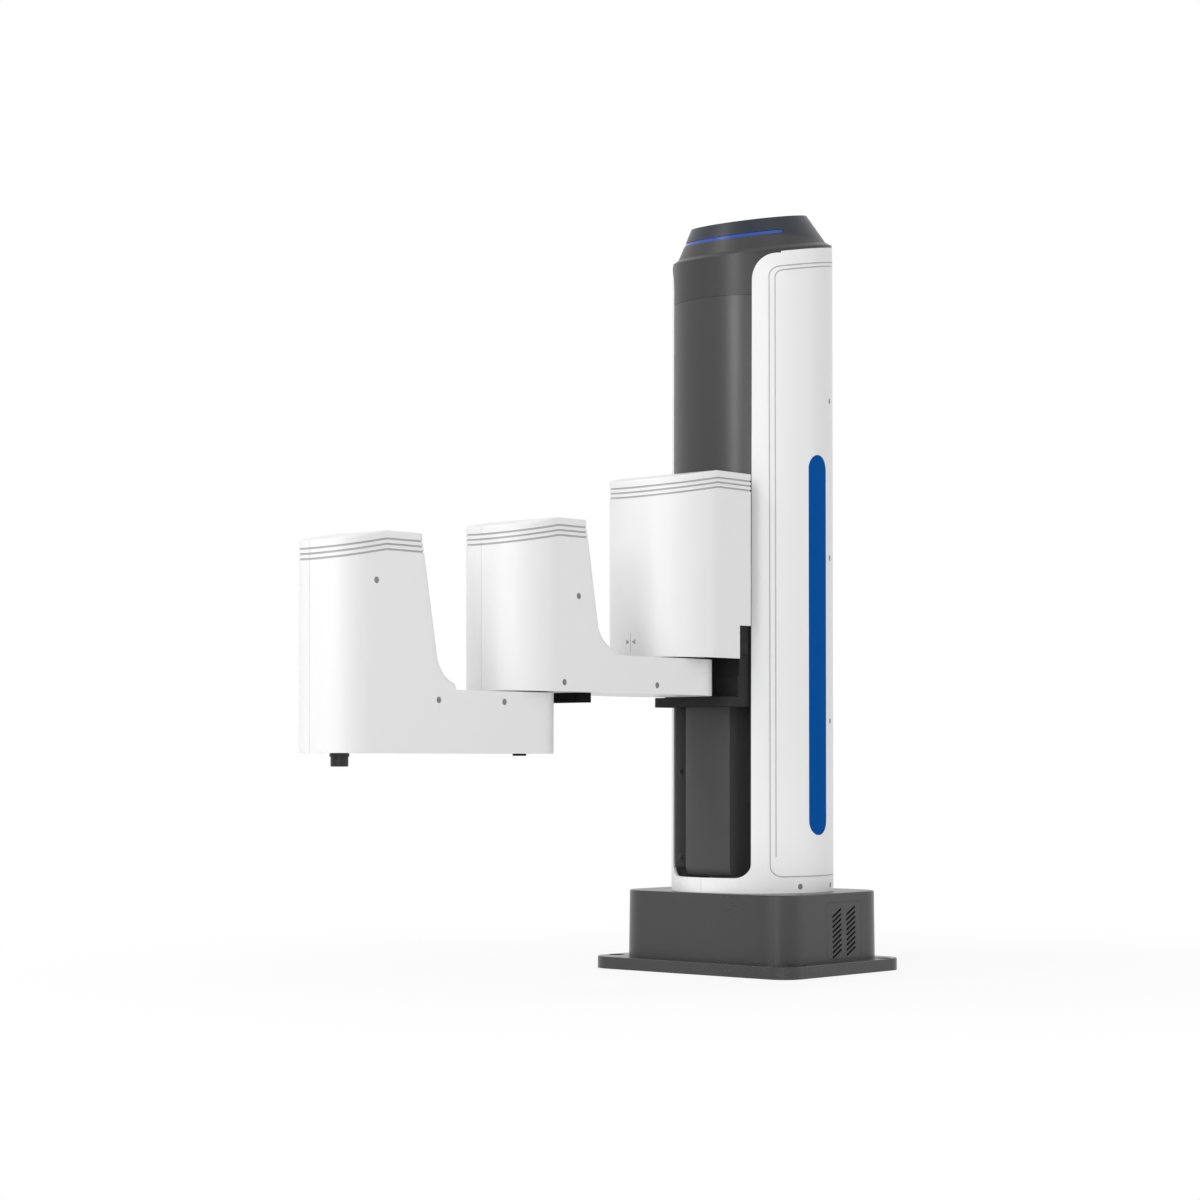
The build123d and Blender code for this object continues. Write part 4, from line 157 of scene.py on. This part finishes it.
# Rear panel: a dark moulded plate behind the window in the rear wall. The mains
# inlet, the rocker switch and the sockets are black plastic, snapped into it.
def moulded_plastic(name, colour, roughness, grain=1400, depth=0.00002, spread=0.05, gloss=0.5):
    """Injection-moulded plastic with a fine grain, whose colour varies by a share, spread."""
    plastic = Finish(name, IOR=1.46, Specular_IOR_Level=gloss)
    grains = plastic.place.noise(grain, detail=2)
    cloud = plastic.place.noise(22, detail=3)
    dark = [c * (1 - spread) for c in colour]
    light = [c * (1 + spread) for c in colour]
    plastic.colour = (cloud * 0.7 + grains * 0.3).tint(dark, light)
    plastic.set(Base_Color=plastic.colour)
    plastic.set(Roughness=cloud * 0.08 + grains * 0.08 + (roughness - 0.08))
    plastic.relief(grains, depth)
    return plastic


rear_panel_plastic = moulded_plastic("rear panel plastic", (0.075, 0.075, 0.076), 0.5).material
shade(rear_panel_plastic, "connector_panel")

inlet_plastic = moulded_plastic("inlet plastic", (0.022, 0.022, 0.023), 0.42).material
shade(inlet_plastic, "power_inlet", "switch_bezel", "power_rocker")

socket_plastic = moulded_plastic("socket plastic", (0.028, 0.028, 0.03), 0.36).material
shade(socket_plastic, "data_ports")


# Inside the base: a black axial fan behind the left vents, a zinc-plated power
# supply by the right wall and a green control board with dark parts on studs.
fan_plastic = moulded_plastic("fan plastic", (0.02, 0.02, 0.021), 0.48).material
shade(fan_plastic, "fan_frame", "fan_rotor")

supply_zinc = Finish("supply zinc", Metallic=1.0)
spangle = supply_zinc.place.node("ShaderNodeTexVoronoi", {}, {"Vector": supply_zinc.place, "Scale": 160.0})
supply_zinc.set(Base_Color=spangle.tint((0.46, 0.47, 0.48), (0.62, 0.63, 0.64)))
supply_zinc.set(Roughness=spangle * 0.2 + 0.28)
shade(supply_zinc.material, "power_supply")

board_top = 0.0238
board_mask = Finish("board mask", IOR=1.5)
brick_colours = {"Color1": (0, 0, 0, 1), "Color2": (0.1, 0.1, 0.1, 1), "Mortar": (1, 1, 1, 1)}
tracks = board_mask.place.node(
    "ShaderNodeTexBrick", {"offset": 0.5},
    {"Vector": board_mask.place, "Scale": 60.0, "Mortar Size": 0.03, **brick_colours},
)
parts = board_mask.z.above(board_top, board_top + 0.0001)
green = tracks.tint((0.006, 0.075, 0.03), (0.015, 0.13, 0.055))
board_mask.set(Base_Color=parts.over(green, (0.035, 0.035, 0.037)), Roughness=parts * 0.15 + 0.3)
shade(board_mask.material, "control_board")


# Column frame: a milled aluminium spine on the base, with ground steel rails, the
# screw supports and the motor shelf screwed to its front. Cast ribs hold the
# casing halves, and the lifting motor stands on its shelf in a black coat.
def cut_metal(name, grey, stretch):
    """Machined metal with fine marks, drawn out along the axis whose stretch is small."""
    metal = Finish(name, Metallic=1.0)
    marks = metal.place.noise(240, detail=5, stretch=stretch)
    cloud = metal.place.noise(18)
    metal.set(Base_Color=(marks * 0.6 + cloud * 0.4).tint([grey * 0.86] * 3, [grey * 1.05] * 3))
    metal.set(Roughness=marks * 0.18 + cloud * 0.08 + 0.26)
    metal.relief(marks, 0.00002)
    return metal.material


spine_aluminium = cut_metal("spine aluminium", 0.66, (1, 1, 0.06))
shade(spine_aluminium, "column_spine", "motor_mount", "screw_supports", "shaft_coupling")

rail_steel = cut_metal("rail steel", 0.56, (1, 1, 0.02))
shade(rail_steel, "guide_rails", "z_motor_shaft")


def cast_aluminium(name, grey):
    """Sand-blasted cast aluminium."""
    metal = Finish(name, Metallic=1.0)
    grains = metal.place.noise(1100, detail=3)
    cloud = metal.place.noise(25)
    metal.set(Base_Color=(grains * 0.5 + cloud * 0.5).tint([grey * 0.85] * 3, [grey * 1.08] * 3))
    metal.set(Roughness=grains * 0.15 + cloud * 0.1 + 0.42)
    metal.relief(grains, 0.00006)
    return metal.material


rib_casting = cast_aluminium("rib casting", 0.56)
shade(rib_casting, "casing_ribs")

motor_coat = powder_coat("motor coat", (0.03, 0.03, 0.032), 0.4)
shade(motor_coat, "z_motor", "j1_motor", "j2_motor", "j4_motor")


# Column casing: two long half shells of white moulded plastic on a slight taper,
# screwed to the ribs. The fine panel line on each flank gets painted shade, and
# the foot gets painted light, so it looks a little brighter than the rest.
def white_shell(name):
    """Satin white plastic with a very fine grain."""
    return moulded_plastic(name, (0.80, 0.80, 0.803), 0.34, grain=1600, depth=0.000012, spread=0.012)


casing_foot = 0.072
casing_foot_radius = 0.0746
casing_taper = 0.00189
line_depths = (0.00056, 0.0010)
lines_half_width = 0.0486
panel_half_width = 0.0400
panel_heights = (0.091, 0.605)
slot_screw_reach = (0.040, 0.070)

casing_white = white_shell("casing white")
# Painted light: the white is painted brighter towards the foot, up to 0.26 m.
foot = 1 - casing_white.z.above(0.08, 0.26)
shell_colour_with_painted_light = (foot * 0.8 + 0.2).over(casing_white.colour, (0.90, 0.90, 0.903))
off_axis = casing_white.place.scaled((1, 1, 0)).length()
sunk = casing_foot_radius - (casing_white.z - casing_foot) * casing_taper - off_axis
off_middle = casing_white.x.absolute()
near_lines = 1 - off_middle.above(lines_half_width, lines_half_width + 0.0004)
panel_middle = 1 - off_middle.above(panel_half_width, panel_half_width + 0.0005)
panel = panel_middle * casing_white.z.between(*panel_heights, 0.0005)
# Painted shade: the sunk panel line on each flank is painted dark grey.
painted_line_shade = sunk.between(*line_depths, 0.00004) * near_lines * (1 - panel)
casing_white.set(Base_Color=painted_line_shade.over(shell_colour_with_painted_light, (0.48, 0.48, 0.482)))
shade(casing_white.material, "casing_left", "casing_right")

casing_screw_steel = Finish("casing screw steel", Metallic=1.0, Roughness=0.34)
head_cloud = casing_screw_steel.place.noise(500)
head_colour = head_cloud.tint((0.13, 0.13, 0.135), (0.22, 0.22, 0.225))
slot_screws = casing_screw_steel.x.between(*slot_screw_reach, 0.002)
casing_screw_steel.set(Base_Color=slot_screws.over(head_colour, (0.72, 0.72, 0.73)))
shade(casing_screw_steel.material, "casing_screws", "arm1_screws", "arm2_screws")


# Blue stripes: long smooth plastic inlays, bonded into a recess in each flank of
# the casing and a little proud of it. The photo's lettering on them is left out.
stripe_film = Finish("stripe film", IOR=1.35, Specular_IOR_Level=0.03)
film_cloud = stripe_film.place.noise(40)
stripe_film.set(Base_Color=film_cloud.tint((0.0012, 0.078, 0.33), (0.0018, 0.086, 0.36)))
stripe_film.set(Roughness=film_cloud * 0.08 + 0.52)
shade(stripe_film.material, "side_stripes")


# Slot parts: dark grey plastic mouldings. The front cover closes the slot above
# the carriage, the strip hides the lifting screw, and the liners are thin side
# walls screwed just inside the slot. The strip's flanks get painted light.
strip_rear = 0.033
strip_front = 0.056
strip_face_half_width = 0.0248

cover_dark = moulded_plastic("cover dark", (0.036, 0.036, 0.037), 0.30).material
shade(cover_dark, "front_cover")

strip_dark = moulded_plastic("strip dark", (0.070, 0.070, 0.071), 0.48, gloss=0.2)
# Painted light: the strip's flanks are painted lighter towards the back of the slot, where shade falls.
painted_light_flank = strip_dark.y.absolute().above(strip_face_half_width, strip_face_half_width + 0.0004)
strip_back = 1 - strip_dark.x.above(strip_rear, strip_front)
strip_dark.set(Base_Color=(painted_light_flank * strip_back).over(strip_dark.colour, (0.11, 0.11, 0.112)))
shade(strip_dark.material, "strip_cover")

liner_dark = moulded_plastic("liner dark", (0.22, 0.22, 0.222), 0.52, gloss=0.3).material
shade(liner_dark, "slot_liners")


# Head cap: one dark plastic moulding that closes the top of the casing, with a
# leaning cone that looks bluer than its foot. A blue light bar lies in the groove
# round its front.
cone_bottom = 0.663
head_dark = moulded_plastic("head dark", (0.034, 0.034, 0.035), 0.36, gloss=0.42)
cone = head_dark.z.above(cone_bottom, cone_bottom + 0.004)
head_dark.set(Base_Color=cone.over(head_dark.colour, (0.013, 0.018, 0.027)))
shade(head_dark.material, "head_cap")

light_bar = Finish("light bar", IOR=1.49, Roughness=0.22)
bar_cloud = light_bar.place.noise(120)
light_bar.set(Base_Color=bar_cloud.tint((0.006, 0.05, 0.30), (0.009, 0.065, 0.36)))
shade(light_bar.material, "light_strip")


# Lifting screw: a rolled steel screw between two bearing blocks, turned by the
# motor above it. Its thread is drawn as bands of painted light and shade along the shaft.
screw_steel = Finish("screw steel", Metallic=1.0)
wave = screw_steel.place.node(
    "ShaderNodeTexWave", {"bands_direction": "Z", "wave_profile": "SIN"},
    {"Vector": screw_steel.place, "Scale": 31.4, "Distortion": 0.0},
)
# Painted light and shade: the thread's ridges and grooves are painted as light and dark bands.
screw_steel.set(Base_Color=wave.tint((0.32, 0.32, 0.33), (0.62, 0.62, 0.63)))
screw_steel.set(Roughness=wave * 0.12 + 0.2)
shade(screw_steel.material, "ball_screw")


# Carriage: an aluminium plate on four steel runners, with the nut in its housing
# and a black coated bracket that reaches out through the slot. The turned and
# milled pieces of the two drives in the arms have the same bare metals.
carriage_aluminium = cut_metal("carriage aluminium", 0.64, (1, 0.06, 1))
shade(carriage_aluminium, "carriage_plate", "nut_housing")
shade(carriage_aluminium, "wrist_frame", "tool_pulley", "j4_motor_pulley")

runner_steel = cut_metal("runner steel", 0.42, (1, 1, 0.1))
shade(runner_steel, "guide_blocks", "ball_nut", "j1_reducer", "j2_reducer", "tool_bearings")

bracket_coat = powder_coat("bracket coat", (0.030, 0.030, 0.031), 0.46, gloss=0.06)
shade(bracket_coat, "shoulder_bracket")


# Shoulder hood: a D-shaped white moulding over the shoulder drive. Three grooves
# run round it under the roof and get painted shade. A small printed mark in
# front shows where the arm points straight ahead.
roof_slope = math.tan(math.radians(10))
groove_drops = (0.0066, 0.0107, 0.0148)
groove_half_width = 0.0007


def grooved_white_with_painted_shade(name, roof, ridge):
    """White shell with painted shade in the grooves that follow a roof falling in front of its ridge."""
    shell = white_shell(name)
    fall = shell.x.maths("MAXIMUM", shell.x - ridge, 0.0) * roof_slope
    under_roof = roof - shell.z - fall
    bands = [(drop - groove_half_width, drop + groove_half_width) for drop in groove_drops]
    grooves = sum(under_roof.between(low, high, 0.0002) for low, high in bands)
    # Painted shade: the three grooves under the roof are painted darker.
    shell.colour = (grooves * 0.55).over(shell.colour, (0.25, 0.25, 0.255))
    shell.set(Base_Color=shell.colour)
    return shell


mark_height = 0.2948
mark_front = 0.165
arrow_tip = 0.0014
arrow_reach = (0.0015, 0.0052)
arrow_slope = 0.62
line_half_width = 0.00025
line_half_height = 0.0082
dashes_to_a_metre = 520.0

hood_white = grooved_white_with_painted_shade("hood white", roof=0.4458, ridge=0.1168)
aside = hood_white.y.absolute()
lift = hood_white.z - mark_height
inside_arrow = (aside - arrow_tip) * arrow_slope - lift.absolute()
arrows = aside.between(*arrow_reach, 0.0001) * inside_arrow.above(-0.00005, 0.00005)
dash_place = lift * dashes_to_a_metre
dashes = dash_place.maths("FRACT", dash_place).above(0.30, 0.34)
line_width = 1 - aside.above(line_half_width, line_half_width + 0.00015)
line = line_width * lift.between(-line_half_height, line_half_height, 0.0001) * dashes
mark = (arrows + line) * hood_white.x.above(mark_front, mark_front + 0.001)
hood_white.set(Base_Color=(mark * 0.85).over(hood_white.colour, (0.22, 0.22, 0.225)))
shade(hood_white.material, "shoulder_cover")


# Rear arm: a blasted cast bar between the shoulder and the elbow, with steel
# flanges, under two white plastic half shells screwed on from both sides. A
# black rubber-faced block under it stops the elbow.
rear_arm_white = grooved_white_with_painted_shade("rear arm white", roof=0.3922, ridge=0.3097)
shade(rear_arm_white.material, "arm1_cover_left", "arm1_cover_right")

arm_casting = cast_aluminium("arm casting", 0.58)
shade(arm_casting, "arm1_casting", "arm2_casting")

flange_steel = cut_metal("flange steel", 0.5, (1, 1, 0.05))
shade(flange_steel, "j1_output_flange", "j2_output_flange")

stop_rubber = Finish("stop rubber", IOR=1.5, Specular_IOR_Level=0.06)
rubber_grain = stop_rubber.place.noise(700)
stop_rubber.set(Base_Color=rubber_grain.tint((0.004, 0.004, 0.004), (0.008, 0.008, 0.008)))
stop_rubber.set(Roughness=rubber_grain * 0.15 + 0.6)
stop_rubber.relief(rubber_grain, 0.00005)
shade(stop_rubber.material, "arm1_stop_block", "j2_plug", "j4_belt")


# Forearm: a cast bar under two white plastic half shells, like the rear arm. The
# photo's lettering on it is left out.
forearm_white = grooved_white_with_painted_shade("forearm white", roof=0.3699, ridge=0.4965)
shade(forearm_white.material, "arm2_cover_left", "arm2_cover_right")


# Tool shaft: a blackened steel shaft that turns in three bearings in the forearm,
# with a collar below it and a tapped hole in its lower end.
shaft_black = powder_coat("shaft black", (0.021, 0.021, 0.022), 0.36, gloss=0.28)
shade(shaft_black, "tool_shaft")


# Studio: a matt white paper floor that fades into a white backdrop, with square
# soft boxes on stands in front, above, on the left and behind. The floor keeps
# only a faint shadow round the base.
def seen_rays(field):
    """1 for rays from the eye, straight, mirrored or through glass, and 0 for scattered light."""
    straight, mirrored, through = [field.node("ShaderNodeLightPath", output=i) for i in (0, 3, 6)]
    return field.maths("MINIMUM", straight + mirrored + through, 1.0)


floor_width = 12.0
floor_drop = 0.0002
near_glow = 0.86
bpy.ops.mesh.primitive_plane_add(size=floor_width, location=(0, 0, -floor_drop))
floor = bpy.context.object
floor.name = "floor"
studio = Finish("studio floor", Roughness=0.9)
far_away = studio.place.length().above(0.22, 0.8)
glow = seen_rays(studio.place) * (near_glow + far_away * (1 - near_glow))
paper = studio.place.node("ShaderNodeEmission", {}, {"Color": (1, 1, 1, 1), "Strength": 1.0})
studio.shader.inputs["Base Color"].default_value = (0.86, 0.86, 0.86, 1)
matt = Field(studio.tree, studio.shader.outputs[0])
mixed = studio.place.node("ShaderNodeMixShader", {}, {0: glow, 1: matt, 2: paper})
studio.tree.links.new(mixed.socket, studio.tree.nodes["Material Output"].inputs["Surface"])
floor.data.materials.append(studio.material)

world = bpy.data.worlds.new("studio")
bpy.context.scene.world = world
world.use_nodes = True
ambient = 0.61
strength = seen_rays(Field(world.node_tree, None)) * (1 - ambient) + ambient
background = world.node_tree.nodes["Background"]
background.inputs["Color"].default_value = (1, 1, 1, 1)
world.node_tree.links.new(strength.socket, background.inputs["Strength"])


def soft_box(name, azimuth, elevation, distance, size, power):
    """Adds a square lamp that faces the robot, at an angle from the front towards the left."""
    turn, rise = math.radians(azimuth), math.radians(elevation)
    aim = Vector((0.15, 0.0, 0.33))
    level = distance * math.cos(rise)
    lamp = bpy.data.lights.new(name, "AREA")
    lamp.shape = "SQUARE"
    lamp.size = size
    lamp.energy = power
    body = bpy.data.objects.new(name, lamp)
    bpy.context.scene.collection.objects.link(body)
    body.location = aim + Vector((level * math.cos(turn), level * math.sin(turn), distance * math.sin(rise)))
    body.rotation_euler = (aim - body.location).to_track_quat("-Z", "Y").to_euler()


soft_box("key low", 14, 12, 4.0, 0.8, 18.5)
soft_box("corner", 36, 5, 4.0, 0.8, 11.0)
soft_box("key high", 10, 28, 2.6, 0.8, 8.8)
soft_box("fill high", -20, 40, 4.0, 0.8, 32.0)
soft_box("side", 75, 45, 2.6, 1.2, 5.0)
soft_box("rim", 122, 6, 4.0, 0.8, 5.5)


# Camera: the photograph's view, level and from the front left, at a quarter of the
# robot's height. The lens is shifted up to hold the whole column.
camera_data = bpy.data.cameras.new("camera")
camera_data.lens = 80.55
camera_data.sensor_width = 36
camera_data.shift_y = 0.1355
camera_data.clip_end = 50
camera = bpy.data.objects.new("camera", camera_data)
camera.location = (1.9465, 1.5380, 0.18927)
camera.rotation_euler = (math.radians(90), 0, math.radians(131.56))
bpy.context.scene.collection.objects.link(camera)
bpy.context.scene.camera = camera
bpy.context.scene.view_settings.view_transform = "Standard"
